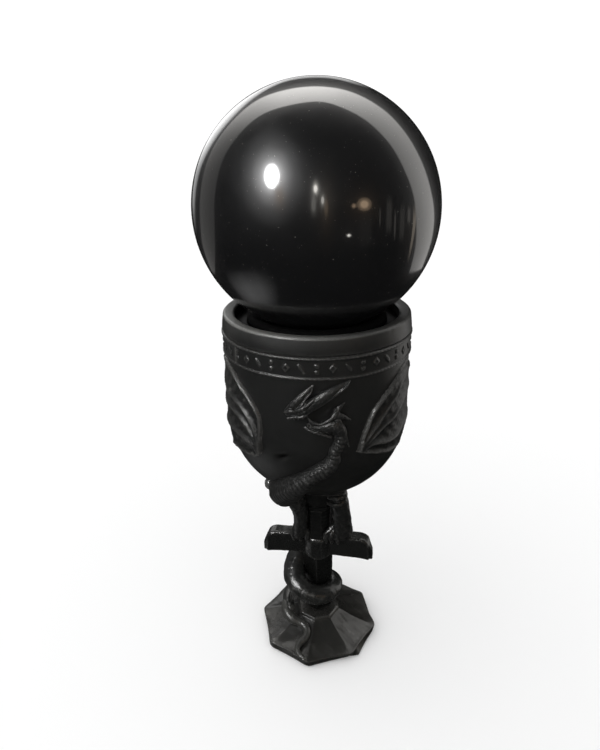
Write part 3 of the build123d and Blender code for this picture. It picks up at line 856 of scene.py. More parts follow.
def make_head(resin):
    """The dragon's head in profile: snout, two swept horns, open jaws with teeth, eye, and spikes on the cheek."""
    jaw_line = [(-2.9, 84.1), (-1.5, 84.4), (-0.1, 84.5), (0.9, 84.9), (2.2, 86.0), (4.0, 87.2), (5.6, 88.3),
                (7.2, 89.4), (8.8, 90.5), (10.2, 91.7), (10.9, 92.6)]
    horn_line = [(-1.2, 85.8), (0.2, 87.4), (1.3, 89.0), (2.3, 90.5), (2.9, 92.2)]
    parts = [
        head_part([(-3.2, 84.9, 0.9, 0.75), (-1.6, 85.2, 1.2, 1.0), (0.6, 86.1, 1.3, 1.35), (3.2, 87.9, 1.2, 1.4),
                   (5.6, 89.6, 1.1, 1.25), (8.0, 91.0, 0.9, 0.85), (10.9, 92.7, 0.5, 0.12)], flatten=0.75),
        head_part([(x, z, 1.9 - 0.05 * x, 0.3) for x, z in jaw_line[:-1]] + [(*jaw_line[-1], 0.6, 0.1)], rings=60),
        head_part([(-3.3, 85.4, 1.0, 0.7), (-1.4, 87.4, 1.2, 1.0), (0.6, 89.6, 1.0, 0.85), (2.7, 92.0, 0.5, 0.12)],
                  flatten=0.75),
        head_part([(x, z, 2.0 - 0.2 * i, 0.33 - 0.05 * i) for i, (x, z) in enumerate(horn_line)], rings=40),
        head_part([(-3.6, 85.3, 1.5, 0.35), (-2.6, 85.9, 1.9, 0.45), (-1.6, 86.0, 2.1, 0.35)]),
        head_part([(-0.8, 86.3, 2.1, 0.35), (0.6, 87.0, 2.5, 0.5), (2.2, 88.2, 2.1, 0.35), (3.4, 89.4, 1.6, 0.2)]),
        head_part([(0.6, 86.1, 2.35, 0.4), (1.0, 86.3, 2.4, 0.42)], rings=6),
        head_part([(1.2, 81.6, 0.8, 0.35), (3.0, 81.7, 0.9, 0.8), (5.2, 81.5, 1.0, 1.3), (7.4, 81.8, 1.0, 1.9),
                   (8.8, 79.9, 0.9, 1.7), (8.8, 77.4, 0.8, 1.3)], flatten=0.8),
        head_part([(0.9, 81.6, 1.1, 0.35), (2.2, 81.0, 1.5, 0.32), (3.6, 80.6, 1.7, 0.3), (5.2, 80.1, 1.8, 0.3),
                   (6.8, 79.4, 1.7, 0.28)], rings=40),
        head_part([(1.4, 82.3, 1.0, 0.25), (2.9, 83.0, 1.4, 0.3), (4.4, 82.7, 1.6, 0.3), (6.1, 83.5, 1.8, 0.35),
                   (7.5, 84.5, 1.7, 0.45), (8.5, 85.2, 1.3, 0.3)], rings=40),
        head_part([(3.6, 82.4, 1.2, 0.55), (2.6, 83.1, 1.5, 0.4), (1.6, 84.2, 1.4, 0.12)], flatten=0.6),
        head_part([(7.8, 84.6, 1.2, 1.0), (9.4, 84.2, 1.3, 0.6), (11.3, 82.8, 0.8, 0.08)], flatten=0.8),
        head_part([(8.3, 83.6, 1.4, 0.8), (9.2, 81.2, 1.6, 0.6), (10.1, 78.6, 1.4, 0.5), (10.9, 75.6, 0.6, 0.1)],
                  flatten=0.8),
        head_part([(8.0, 85.6, 0.9, 0.8), (8.9, 86.6, 0.8, 0.4), (9.9, 87.3, 0.3, 0.08)], flatten=0.8),
    ]
    upper_teeth = (0.15, -0.95, 1.5, 0.24, ((-2.6, 84.1), (-1.7, 84.2), (-0.7, 84.3), (0.4, 84.5), (1.4, 85.2)))
    lower_teeth = (-0.1, 0.8, 1.4, 0.2, ((1.6, 82.0), (2.6, 82.4), (3.7, 82.4), (4.8, 82.7)))
    for lean, reach, off, radius, roots in (upper_teeth, lower_teeth):
        for x, z in roots:
            parts.append(head_part([(x, z, off, radius), (x + lean, z + reach, 1.4, 0.05)], rings=8, around=10))
    piece = fuse("dragon_head_sculpt", parts, 0.12, 1)
    roughen(piece, (0.7, 21, 0.03), (0.35, 23, 0.015))
    return cast(piece, resin, "head", "dragon_head", rub=1.1)


NECK_ROWS = [  # x, height, stand-off from the wall, radius
    (9.0, 79.6, 0.9, 1.2), (8.8, 77.3, 0.9, 1.35), (7.7, 75.2, 0.9, 1.4), (7.35, 73.0, 1.0, 1.6),
    (5.9, 70.9, 1.1, 1.95), (3.6, 69.3, 1.1, 1.95), (1.3, 67.3, 1.2, 2.1), (-1.3, 64.6, 1.0, 2.8),
    (-3.9, 61.6, 0.6, 3.6), (-6.2, 58.2, 0.2, 4.1), (-7.6, 55.6, -1.6, 4.3),
]


def make_neck(resin):
    """The neck that sweeps up the bowl's front, with belly plates towards the viewer and scales round the rest."""
    path = [(*on_bowl_front(x, z, off), r) for x, z, off, r in NECK_ROWS]
    relief = together(plates(1.05, 0.19, 0.0, 1.0), scales(14, 1.0, 0.08))
    shell = tube(path, from_wall, rings=260, around=76, relief=relief)
    piece = roughen(add_mesh("dragon_neck_sculpt", [shell]), *SKIN_GRAIN)
    return cast(piece, resin, "neck", "dragon_neck", gloss=-0.12, rub=0.7, sheen=0.34)


# ------------------------------------------------------------------ dragon body, legs and tail
BODY_PATH = [
    (-6.0, -15.4, 57.8, 3.6), (-7.6, -8.8, 54.8, 4.3), (-6.2, -2.0, 50.0, 3.9), (-3.0, 5.0, 45.0, 3.8),
    (0.6, 7.2, 38.5, 3.3), (1.6, 7.0, 33.0, 2.9), (1.9, 6.4, 27.5, 2.8),
]


SHOULDER_KNOB = ((-10.5, -13.6, 58.3), (1.6, 1.6, 1.75))  # middle and half sizes


def from_axis(centre):
    """Outward direction from the stem's axis at each point."""
    flat = centre.copy()
    flat[:, 2] = 0
    return unit(flat)


def make_body(resin):
    """Shoulders and back under the bowl, going behind the grip, with a polished knob on the shoulder."""
    relief = together(scales(14, 2.2, 0.07), spines(3.0, 0.12, 0.0, 0.5))
    shells = [
        tube(BODY_PATH, from_axis, rings=190, around=88, relief=relief),
        tube([(-8.6, -8.0, 52.6, 2.6), (-6.6, -6.0, 49.4, 2.4), (-4.8, -5.2, 46.6, 1.9)], from_axis, 24, 24,
             scales(10, 1.2, 0.2)),
        tube([(3.6, -9.0, 55.6, 2.6), (5.2, -4.6, 54.0, 3.2), (5.4, 0.0, 52.5, 3.2)], from_axis, 24, 24),
    ]
    piece = fuse("dragon_body_sculpt", shells, 0.18, 1)
    roughen(piece, (3.4, 25, 0.14), (1.3, 22, 0.05))
    bump = roughen(add_mesh("shoulder_knob", [knob(*SHOULDER_KNOB)]), *SKIN_GRAIN)
    # The knob is smoother than the rest, and its colour is made twelve times lighter as a painted highlight.
    cast(bump, resin, "knob", gloss=0.24, rub=1.6, tone=12.0)
    return cast(piece, resin, "body", "dragon_body", gloss=-0.04, sheen=0.38)


LEG_PATHS = {
    "leg_left": [(-5.8, -4.2, 48.4, 3.0), (-4.6, -3.9, 44.0, 2.3), (-4.4, -3.6, 40.0, 2.0), (-5.0, -2.6, 35.4, 2.2)],
    "leg_right": [(5.0, -1.6, 51.4, 3.2), (6.4, -2.2, 46.6, 2.7), (7.0, -1.8, 42.0, 2.7), (7.5, -1.4, 36.0, 2.9)],
}
TOE_PLACES = {"leg_left": (-6.6, -4.6, -2.7), "leg_right": (2.9, 4.5, 6.3)}


def make_leg(node, resin):
    """A leg with thigh, shin and three clawed toes that hook over the guard."""
    path = LEG_PATHS[node]
    relief = together(scales(10, 2.0, 0.08), spines(2.4, 0.12, 3.0))
    shells = [tube(path, from_axis, rings=90, around=52, relief=relief)]
    foot_x, foot_y, foot_z, _ = path[-1]
    front, back, top = -GUARD_THICKNESS / 2, GUARD_THICKNESS / 2, GUARD_HIGH[2]  # the guard that the claws hold
    for x in TOE_PLACES[node]:
        root_x = foot_x + (x - foot_x) * 0.5
        toe = [(root_x, foot_y - 0.8, foot_z + 2.2, 1.1), (x, front - 1.3, top + 1.7, 0.95),
               (x, front - 1.2, top + 0.3, 0.85)]
        claw = [(x, front - 1.1, top + 0.4, 0.75), (x, front - 1.1, top - 0.9, 0.5), (x, front - 0.4, top - 2.2, 0.06)]
        shells += [tube(toe, from_axis, 20, 16), tube(claw, from_axis, 16, 14)]
    hind = [(foot_x, 0.5, top + 1.4, 1.1), (foot_x, back + 0.6, top + 0.4, 0.7),
            (foot_x, back + 0.5, top - 1.8, 0.06)]
    shells.append(tube(hind, from_axis, 16, 14))
    if node == "leg_right":
        for z in (49.2, 47.2):
            fold = [(3.6, -4.0, z - 0.3, 0.6), (6.0, -4.9, z, 0.8), (8.4, -3.6, z + 0.2, 0.5)]
            shells.append(tube(fold, from_axis, 16, 14))
    piece = fuse(node + "_sculpt", shells, 0.16, 2)
    roughen(piece, *SKIN_GRAIN)
    return cast(piece, resin, node, node, gloss=0.1)


COIL_START = 75.0   # degrees anticlockwise from +X, seen from above
COIL_SWEEP = 500.0
COIL_STEPS = 40
COIL_SHIFT = -1.3   # the coil's middle, across
COIL_HALF = (6.0, 5.8)
COIL_SPREAD = 2.0   # how much wider its lowest turn is
COIL_TILT = 2.2     # how much lower its first turn is in front than behind
COIL_EASE = 0.85    # below 1 the coils come down faster at first
COIL_RADII = ([0, 0.25, 0.42, 0.7, 1], [2.9, 3.2, 2.75, 2.0, 1.5])  # share of the way down, and thickness there


def coil_path():
    """The tail's turns round the blade, wider and thinner as they come down to the foot."""
    top, bottom = GUARD_LOW[2] - 1.9, BLADE_LOW[2] + 1.1
    rows = []
    for along in np.linspace(0, 1, COIL_STEPS):
        turn = math.radians(COIL_START + COIL_SWEEP * along)
        wider = COIL_SPREAD * soft_step(along, 0.45, 1.0)
        height = top + (bottom - top) * along**COIL_EASE + COIL_TILT * (1 - along) * math.sin(turn)
        rows.append((COIL_SHIFT + (COIL_HALF[0] + wider) * math.cos(turn), (COIL_HALF[1] + wider) * math.sin(turn),
                     height, float(np.interp(along, *COIL_RADII))))
    return rows


def make_tail(resin):
    """The tail's coils, finely scaled, up to where they lie on the foot."""
    path = BODY_PATH[-1:] + coil_path()[1:]
    relief = together(scales(14, 1.6, 0.05), spines(3.1, 0.1, 0.0, 0.5))
    shell = tube(path, from_axis, rings=420, around=60, relief=relief)
    piece = roughen(add_mesh("dragon_tail_coils", [shell]), (3.0, 23, 0.06), (0.9, 24, 0.012))
    # The coils' resin is made lighter as painted light.
    return cast(piece, resin, "tail", "dragon_tail", gloss=0.12, tone=1.5)


TAIL_END = [
    (-9.4, -3.0, 8.7, 1.6), (-8.6, -5.4, 8.0, 1.6), (-6.8, -6.9, 7.1, 1.45), (-4.8, -7.2, 6.4, 1.25),
    (-3.1, -7.9, 6.0, 1.1), (-2.0, -9.3, 5.35, 1.05), (-2.3, -11.1, 4.6, 1.0), (-3.6, -12.7, 4.0, 0.92),
    (-4.1, -14.3, 3.45, 0.82), (-3.3, -15.7, 3.0, 0.7), (-1.9, -16.6, 2.8, 0.5),
]


def make_tail_end(resin):
    """The tail's loose end: an S on the foot's front that ends in a small spade at the corner."""
    relief = together(scales(10, 0.9, 0.06), spines(1.3, 0.12, 0.0))
    spade = [(-2.4, -16.2, 2.95, 0.3), (-1.6, -16.8, 2.75, 0.75), (-0.8, -17.3, 2.5, 0.1)]
    shells = [tube(TAIL_END, (0, 0, 1), rings=170, around=28, relief=relief),
              tube(spade, (0, 0, 1), 24, 20, None, 0.6)]
    piece = roughen(add_mesh("tail_end_sculpt", shells), (0.9, 21, 0.015))
    # The tail end's resin is made much lighter as a painted highlight.
    return cast(piece, resin, "tail_end", "tail_tip", gloss=0.06, tone=3.6, warm=0.3)


# ------------------------------------------------------------------ sword and foot
def boxy_bar(stations, exponent, around):
    """A closed bar along X through (x, middle height, half height, half thickness) stations, with soft corners."""
    stations = np.array(stations, float)
    turn = full_turn(around)
    cos, sin = np.cos(turn), np.sin(turn)
    across = np.sign(cos) * np.abs(cos) ** (2 / exponent)
    up = np.sign(sin) * np.abs(sin) ** (2 / exponent)
    rows = [np.stack([np.full(around, x), across * thick, z + up * half], axis=1) for x, z, half, thick in stations]
    return close_ends(rows)


def make_guard(resin):
    """The cross guard: a bar whose ends are rounded above and flared to a point below, and a block in its middle."""
    low, high = GUARD_LOW[2], GUARD_HIGH[2]
    reach = GUARD_HIGH[0]
    thick = GUARD_THICKNESS / 2
    xs = np.concatenate([np.linspace(0, 12.5, 44), np.linspace(12.6, 15.4, 26)])
    stations = []
    for x in xs:
        top = high + np.interp(x, [0, 9, 12.6, 14.0, 14.8, 15.4], [0, 0, -0.1, -0.5, -1.2, -2.3])
        bottom = low + np.interp(x, [0, 6, 11, 14.5, 15.4], [0.5, 0.75, 0.55, 0.15, 0.0])
        end = 1 - max(0, (x - 14.6) / 0.8) ** 3 * 0.35
        stations.append((x, (top + bottom) / 2, (top - bottom) / 2, thick * end))
    tip = [(reach - 0.1, low + 1.5, 1.5, thick * 0.5), (reach - 0.02, low + 0.7, 0.6, thick * 0.3)]
    right = stations + tip
    left = [(-x, *rest) for x, *rest in reversed(right)][:-1]
    heights = np.linspace(low + 0.05, high, 24)
    centre = (GUARD_HIGH[1] - GUARD_LOW[1]) / 2
    block = stem_section(lambda z, turn: polygon_radius(turn, 8, centre * 0.94, 0.7)
                         - 0.7 * abs((z - (low + high) / 2) / (high - low) * 2) ** 8, heights, 96)
    piece = add_mesh("cross_guard_bar", [boxy_bar(left + right, 6.5, 64), block])
    roughen(piece, (5, 31, 0.05), (1.6, 32, 0.02))
    return cast(piece, resin, "guard", "cross_guard", gloss=0.14, rub=0.8)


def stem_section(radius_at, heights, around):
    """A closed stem piece with a bore: radius_at(height, angles) gives the outline's radius at each angle."""
    turn = full_turn(around)
    rows = [ring_at(radius_at(height, turn), turn, height) for height in heights]
    rows += [ring_at(BORE_RADIUS, turn, height) for height in (heights[-1], heights[0])]
    return np.vstack(rows), grid_faces(len(rows), around, wrap_rows=True)


def polygon_radius(turn, sides, apothem, rounding):
    """Radius at each angle of a regular polygon whose corners are softened by rounding, 0 to 1."""
    wedge = 2 * np.pi / sides
    within = (turn + wedge / 2) % wedge - wedge / 2
    sharp = apothem / np.cos(within)
    return sharp * (1 - rounding) + apothem * (1 + 0.35 * (1 / math.cos(wedge / 2) - 1)) * rounding


def pommel_radius(height, turn):
    """A flattened ball over a ringed root."""
    low, high = POMMEL_LOW[2], POMMEL_HIGH[2]
    share = abs(height - (low + high) / 2) / ((high - low) / 2)
    ring = 0.25 * math.exp(-((height - low - 1.0) / 0.35) ** 2)
    return np.maximum(POMMEL_HIGH[0] * (1 - share**2.6) ** 0.5, 3.9 + ring) * (1 + 0.012 * np.cos(8 * turn))


def grip_radius(height, turn):
    """Eight worn sides, a slight waist and the marks of a wound cord."""
    waist = 1 - 0.06 * math.sin(math.pi * (height - GRIP_LOW[2]) / (GRIP_HIGH[2] - GRIP_LOW[2]))
    wrap = 0.03 * np.sin((height * 2.6 + turn) * 2)
    return polygon_radius(turn, 8, GRIP_HIGH[0] * 0.985 * waist - 0.1, 0.25) + wrap


def blade_radius(height, turn):
    """A lens between two edges, a little narrower towards its point."""
    taper = 1 - 0.11 * (BLADE_HIGH[2] - height) / (BLADE_HIGH[2] - BLADE_LOW[2])
    across, over = np.abs(np.cos(turn)) / (BLADE_HIGH[0] * taper), np.abs(np.sin(turn)) / (BLADE_HIGH[1] * taper)
    return 0.9 / (across + over) + 0.06 * (across**2 + over**2) ** -0.5


def make_sword(resin):
    """Pommel, grip and blade of the sword that makes the stem."""
    parts = [("pommel", "pommel_knob", pommel_radius, POMMEL_LOW, POMMEL_HIGH, 40, 96, 0.1, ((3, 41, 0.04),)),
             ("grip", "grip_shaft", grip_radius, GRIP_LOW, GRIP_HIGH, 60, 128, 0.1, ()),
             ("blade", "blade_shaft", blade_radius, BLADE_LOW, BLADE_HIGH, 50, 160, 0.14, ((4, 44, 0.03),))]
    for name, shown, radius_at, low, high, rows, around, gloss, waves in parts:
        piece = add_mesh(shown, [stem_section(radius_at, np.linspace(low[2], high[2], rows), around)])
        if waves:
            roughen(piece, *waves)
        # The sword's resin is made darker as painted shade.
        cast(piece, resin, name, "sword_" + name, gloss=gloss, rub=0.25, tone=0.7, sheen=0.22)


# The foot's corners as (degrees anticlockwise from +X, radius), at the rim's top edge and at the floor.
FOOT_TOP = [(-92.4, 17.4), (-47.2, 17.1), (-2.6, 17.5), (43.4, 17.4), (88.0, 17.4), (133.0, 17.4), (177.0, 17.5),
            (222.6, 17.3)]
FOOT_BOTTOM = [(-92.0, 17.35), (-39.0, 17.5), (-2.0, 17.5), (43.4, 17.5), (88.0, 17.5), (133.0, 17.5), (177.0, 17.5),
               (222.6, 17.45)]


def corner_outline(turn, corners, scallop):
    """Radius at each angle of the polygon through (degrees, radius) corners, its sides curved in by scallop,
    and how near each angle is to a corner: 0 in the middle of a side, 1 at a corner."""
    radius = np.zeros_like(turn)
    nearness = np.zeros_like(turn)
    angles = np.radians([a for a, _ in corners])
    for k, (_, r0) in enumerate(corners):
        a0, a1 = angles[k], angles[(k + 1) % len(corners)]
        r1 = corners[(k + 1) % len(corners)][1]
        span = (a1 - a0) % (2 * np.pi)
        within = (turn - a0) % (2 * np.pi)
        here = within < span
        x0, y0 = r0, 0.0
        x1, y1 = r1 * math.cos(span), r1 * math.sin(span)
        cross = x0 * y1 - x1 * y0
        straight = cross / (np.cos(within) * (y1 - y0) - np.sin(within) * (x1 - x0))
        near = np.abs(within / span - 0.5) * 2
        radius = np.where(here, straight - scallop * (1 - near**2), radius)
        nearness = np.where(here, near, nearness)
    return radius, nearness


def make_foot(resin):
    """The eight-sided foot: creased ridges up to a small plinth, hollowed facets, and a deep rounded rim."""
    turn = full_turn(640)
    edge, near = corner_outline(turn, FOOT_TOP, 0.35)
    base, _ = corner_outline(turn, FOOT_BOTTOM, 0.2)
    edge, base = edge - 0.3 * near**16, base - 0.35 * near**16
    plinth, _ = corner_outline(turn, [(a, 6.3) for a, _ in FOOT_TOP], 0.0)
    top_z, low_z = FOOT_HIGH[2], FOOT_LOW[2]
    rim_z = low_z + FOOT_EDGE
    rows = []

    def ring(radius, height):
        rows.append(ring_at(radius, turn, height))

    ring(BORE_RADIUS, top_z)
    ring(plinth * 0.7, top_z)
    for share, drop in ((0.9, 0.02), (0.97, 0.12), (1.0, 0.35), (1.02, 0.75)):
        ring(plinth * share, top_z - drop)
    for share in np.linspace(0.0, 1, 44):
        radius = plinth * 1.03 + (edge - plinth * 1.03) * share
        hollow = 0.3 * math.sin(math.pi * share) * (1 - near**2)
        ring(radius, rim_z + (top_z - 0.9 - rim_z) * (1 - share) ** 1.35 - hollow * 0.9)
    for angle in np.linspace(0.3, math.pi / 2, 5):
        ring(edge + 0.3 * math.sin(angle), rim_z - 0.3 * (1 - math.cos(angle)))
    for share in np.linspace(0.2, 1, 5):
        ring(edge + 0.3 + (base - edge - 0.3) * share, rim_z - 0.3 - (rim_z - 0.6 - low_z) * share)
    ring(base - 0.1, low_z + 0.1)
    ring(base - 0.35, low_z)
    pocket, pocket_top = PAD_HIGH[0] + 0.1, PAD_HIGH[2]
    well, well_top = WASHER_HIGH[0] + 0.4, FOOT_WELL_TOP
    ring(pocket, low_z)
    if pocket_top > low_z + 0.01:
        ring(pocket, pocket_top)
    ring(well, max(pocket_top, low_z))
    ring(well, well_top)
    ring(BORE_RADIUS, well_top)
    shell = np.vstack(rows), grid_faces(len(rows), len(turn), wrap_rows=True, flip=True)
    piece = add_mesh("eight_sided_foot", [shell])
    roughen(piece, (5, 51, 0.06), (1.6, 52, 0.01), fade=lambda points: soft_step(points[:, 2], 0.6, 1.4))
    # The foot's resin is made lighter as painted light.
    return cast(piece, resin, "foot", "foot", gloss=0.12, warm=0.5, tone=1.5)


# ------------------------------------------------------------------ the frame's own parts
def finish_fittings(resin):
    """Materials for the CAD parts that are shown as they are."""
    nut_steel = plated_steel("nut_steel")
    finishes = {
        "seat_ring": soft_rubber("seat_rubber"),
        "base_pad": soft_rubber("pad_rubber"),
        # The collar's resin is made darker as painted shade in the bowl's mouth, under the ball.
        "seat_collar": cast_resin("satin_resin_collar", resin, rub=0.1, sheen=0.04, tone=0.3),
        "tie_rod": plated_steel("rod_steel"),
        "top_nut": nut_steel, "top_washer": nut_steel, "bottom_nut": nut_steel, "bottom_washer": nut_steel,
    }
    for node, material in finishes.items():
        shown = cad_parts[node]
        shown.data.materials.clear()
        shown.data.materials.append(material)


# ------------------------------------------------------------------ stage
CAMERA_SHIFT = (-0.0176, -0.0533)  # the stem stands a little off the middle of the view


def camera_axes(settings):
    """The lens's place and its forward, right and up directions."""
    round_by = settings.camera_azimuth
    place = Vector((settings.camera_distance * math.sin(round_by), -settings.camera_distance * math.cos(round_by),
                    settings.camera_height))
    look = round_by + settings.camera_yaw
    pitch, roll = settings.camera_pitch, settings.camera_roll
    forward = Vector((-math.sin(look) * math.cos(pitch), math.cos(look) * math.cos(pitch), -math.sin(pitch)))
    level = Vector((math.cos(look), math.sin(look), 0))
    rise = level.cross(forward)
    right = level * math.cos(roll) + rise * math.sin(roll)
    up = rise * math.cos(roll) - level * math.sin(roll)
    return place, forward, right, up


def make_camera(settings):
    """The camera, at the fitted place."""
    place, forward, right, up = camera_axes(settings)
    data = bpy.data.cameras.new("view")
    data.lens = settings.lens
    data.sensor_width = 36.0
    data.shift_x, data.shift_y = CAMERA_SHIFT
    data.clip_start = 0.01
    camera = show("view", data)
    camera.matrix_world = Matrix((
        (right.x, up.x, -forward.x, place.x),
        (right.y, up.y, -forward.y, place.y),
        (right.z, up.z, -forward.z, place.z),
        (0, 0, 0, 1)))
    bpy.context.scene.camera = camera


def seen_on_ball(settings, across, rise):
    """Direction, from the ball, of what shows on its face at (across, rise), each from -1 to 1."""
    place, _, _, _ = camera_axes(settings)
    centre = Vector((0, 0, BALL_HEIGHT * MM))
    view = (centre - place).normalized()
    right = view.cross(Vector((0, 0, 1))).normalized()
    up = right.cross(view)
    away = math.sqrt(max(1 - across**2 - rise**2, 0.0))
    normal = right * across + up * rise - view * away
    return view - 2 * view.dot(normal) * normal


def glow(name, colour, power):
    """A light card's surface, as bright as the card's own level says at each place."""
    g = Graph(bpy.data.materials.new(name))
    light = g.node("ShaderNodeEmission", Color=colour, Strength=power)
    clear = g.node("ShaderNodeBsdfTransparent")
    blend = g.node("ShaderNodeMixShader", Fac=g.attribute("level"), _1=clear, _2=light)
    g.node("ShaderNodeOutputMaterial", Surface=blend)
    return g.owner


def light_card(name, settings, rows, distance, colour, power):
    """A glowing card whose reflection fills an outline on the ball's face, from rows of (across, rise, level)."""
    centre = Vector((0, 0, BALL_HEIGHT * MM))
    places = [centre + seen_on_ball(settings, across, rise) * distance for row in rows for across, rise, _ in row]
    columns = len(rows[0])
    faces = [[r * columns + c, (r + 1) * columns + c, (r + 1) * columns + c + 1, r * columns + c + 1]
             for r in range(len(rows) - 1) for c in range(columns - 1)]
    mesh = bpy.data.meshes.new(name)
    mesh.from_pydata([tuple(p) for p in places], [], faces)
    mesh.attributes.new("level", "FLOAT", "POINT").data.foreach_set("value", [p[2] for row in rows for p in row])
    mesh.materials.append(glow(name + "_glow", colour, power))
    card = show(name, mesh)
    card.visible_camera = False
    card.visible_diffuse = False


def soft_band(rows, fade=0.22, inner_level=1.0, end_fade=0.8):
    """Card rows from (inner across and rise, outer across and rise, level), faded at both edges and both ends."""
    fine, steps = smooth_path(rows, len(rows) * 6)
    steps = steps / steps[-1] * (len(rows) - 1)
    ends = np.minimum(np.minimum(steps, steps[-1] - steps) / end_fade, 1)
    shares = ((0, 0), (fade, inner_level), (1 - fade, 1), (1, 0))
    return [[(a + (c - a) * share, b + (d - b) * share, level * bright * end) for share, bright in shares]
            for (a, b, c, d, level), end in zip(fine, ends)]


def round_lamp(across, rise, core, halo, low, tall):
    """Card rows for a lamp: bright as far as its core, then fading out to its halo; tall stretches it upwards."""
    rings = ((core * 0.02, 1), (core * 0.6, 1), (core, low * 5), (core * 1.5, low * 2),
             (core + (halo - core) * 0.5, low * 0.5), (halo, 0))
    return [[(across + r * math.cos(turn), rise + r * tall * math.sin(turn), level) for r, level in rings]
            for turn in np.linspace(0, -2 * math.pi, 25)]


# Soft light cards, each set out by where its reflection falls on the ball's face, from -1 to 1. A band's rows say
# inner across, inner rise, outer across, outer rise, level.
WALL_BAND = [
    (-0.8, -0.51, -0.83, -0.5, 0.04), (-0.77, -0.3, -0.885, -0.3, 0.045), (-0.76, -0.12, -0.895, -0.16, 0.05),
    (-0.745, 0.12, -0.885, 0.1, 0.055), (-0.68, 0.36, -0.82, 0.36, 0.08), (-0.55, 0.54, -0.68, 0.58, 0.18),
    (-0.4, 0.66, -0.45, 0.78, 0.5), (-0.22, 0.72, -0.2, 0.86, 0.9), (0.02, 0.75, 0.05, 0.875, 1.0),
    (0.2, 0.7, 0.28, 0.83, 0.72), (0.38, 0.6, 0.5, 0.71, 0.48), (0.54, 0.44, 0.66, 0.55, 0.36),
    (0.65, 0.25, 0.785, 0.35, 0.33), (0.715, 0.08, 0.865, 0.14, 0.31), (0.74, -0.1, 0.905, -0.05, 0.26),
    (0.745, -0.28, 0.895, -0.24, 0.2), (0.715, -0.47, 0.835, -0.46, 0.15), (0.7, -0.5, 0.825, -0.475, 0.14),
]
RIM_BAND = [
    (-0.93, -0.2, -0.955, -0.2, 0.1), (-0.93, 0.06, -0.965, 0.06, 0.25), (-0.875, 0.3, -0.925, 0.31, 0.35),
    (-0.76, 0.5, -0.825, 0.54, 0.8), (-0.6, 0.68, -0.66, 0.73, 1.0), (-0.42, 0.83, -0.45, 0.87, 0.8),
    (-0.2, 0.93, -0.2, 0.965, 0.45), (0.1, 0.945, 0.1, 0.98, 0.4), (0.4, 0.87, 0.42, 0.9, 0.3),
]
SILL_BAND = [
    (0.715, 0.04, 0.742, 0.05, 0.6), (0.72, -0.1, 0.745, -0.1, 1.0), (0.71, -0.25, 0.728, -0.26, 0.8),
    (0.69, -0.4, 0.7, -0.42, 0.5),
]
FLOOR_BAND = [
    (-0.72, -0.46, -0.36, -0.42, 1.0), (-0.66, -0.6, -0.29, -0.58, 0.8), (-0.52, -0.78, -0.3, -0.82, 0.5),
]
WINDOW_PANES = [  # left, low, right, high, level
    (0.46, -0.14, 0.475, 0.02, 0.7), (0.51, -0.2, 0.56, 0.1, 0.5), (0.575, -0.24, 0.59, 0.0, 0.9),
    (0.615, -0.26, 0.66, 0.05, 0.4), (0.675, -0.12, 0.705, 0.02, 0.8), (0.3, -0.3, 0.42, -0.02, 0.16),
]
LAMPS = {  # distance, colour, level of the halo, then (across, rise, core, halo, tall, power) of each lamp
    "lamp": (0.7, (1.0, 0.97, 0.9), 0.06,
             [(-0.005, 0.14, 0.016, 0.05, 2.0, 16.0), (0.045, 0.06, 0.012, 0.04, 2.6, 7.0),
              (0.235, -0.19, 0.012, 0.03, 0.8, 14.0), (-0.02, 0.03, 0.02, 0.05, 3.0, 1.6)]),
    "warm": (0.72, (1.0, 0.72, 0.48), 0.08,
             [(0.345, 0.03, 0.036, 0.07, 0.9, 5.0), (-0.265, 0.1, 0.03, 0.08, 2.4, 1.3),
              (0.27, 0.02, 0.014, 0.03, 1.0, 3.0), (0.07, 0.01, 0.016, 0.1, 4.0, 1.0)]),
}
WHITE = (1.0, 1.0, 1.0)


def make_cards(settings):
    """The soft cards whose reflections are seen in the ball."""
    light_card("wall_card", settings, soft_band(WALL_BAND, 0.07, 1.0, 0.15), 0.9, (1.0, 0.98, 0.95), 4.4)
    light_card("back_card", settings, soft_band(RIM_BAND, 0.2, 0.6), 1.4, WHITE, 2.6)
    key = round_lamp(-0.318, 0.23, 0.062, 0.24, 0.016, 1.55)
    light_card("key_card", settings, key, 0.9, WHITE, settings.key_power)
    for kind, (distance, colour, low, lamps) in LAMPS.items():
        for number, (across, rise, core, halo, tall, power) in enumerate(lamps, 1):
            rows = round_lamp(across, rise, core, halo, low, tall)
            light_card(f"{kind}_card_{number}", settings, rows, distance, colour, power)
    for number, (left, low, right, high, level) in enumerate(WINDOW_PANES, 1):
        pane = [(left, z, right, z, level) for z in np.linspace(low, high, 4)]
        light_card(f"window_card_{number}", settings, soft_band(pane), 1.8, (1.0, 0.95, 0.88), 0.6)
    light_card("sill_card", settings, soft_band(SILL_BAND, 0.1), 1.2, (1.0, 0.86, 0.7), 1.2)
    light_card("floor_card", settings, soft_band(FLOOR_BAND, 0.35), 0.9, WHITE, 0.6)


FLOOR_REACH = 6.0  # metres from the stem to the floor's edges


def make_floor(settings):
    """A wide, plain, pale floor."""
    mesh = bpy.data.meshes.new("floor")
    corners = [(x * FLOOR_REACH, y * FLOOR_REACH, 0) for x, y in ((-1, -1), (1, -1), (1, 1), (-1, 1))]
    mesh.from_pydata(corners, [], [[0, 1, 2, 3]])
    floor = show("floor", mesh)
    g = Graph(bpy.data.materials.new("pale_floor"))
    tone = g.mix(g.noise(g.place(), 3.0, 3), [c * 0.99 for c in settings.floor_colour], settings.floor_colour)
    mesh.materials.append(g.surface(Base_Color=tone, Roughness=1.0, Specular_IOR_Level=0.0))
    floor.visible_glossy = False


SKY_SIDE = (-0.62, -0.42, 0.42)  # the sky is brightest on this side
SKY_SPREAD = 0.95  # how much brighter it is there
SKY_LEVEL = 0.86
SKY_BEHIND = 1.12  # what shows behind the floor
SKY_MIRRORED = 0.01  # what shiny surfaces see of it


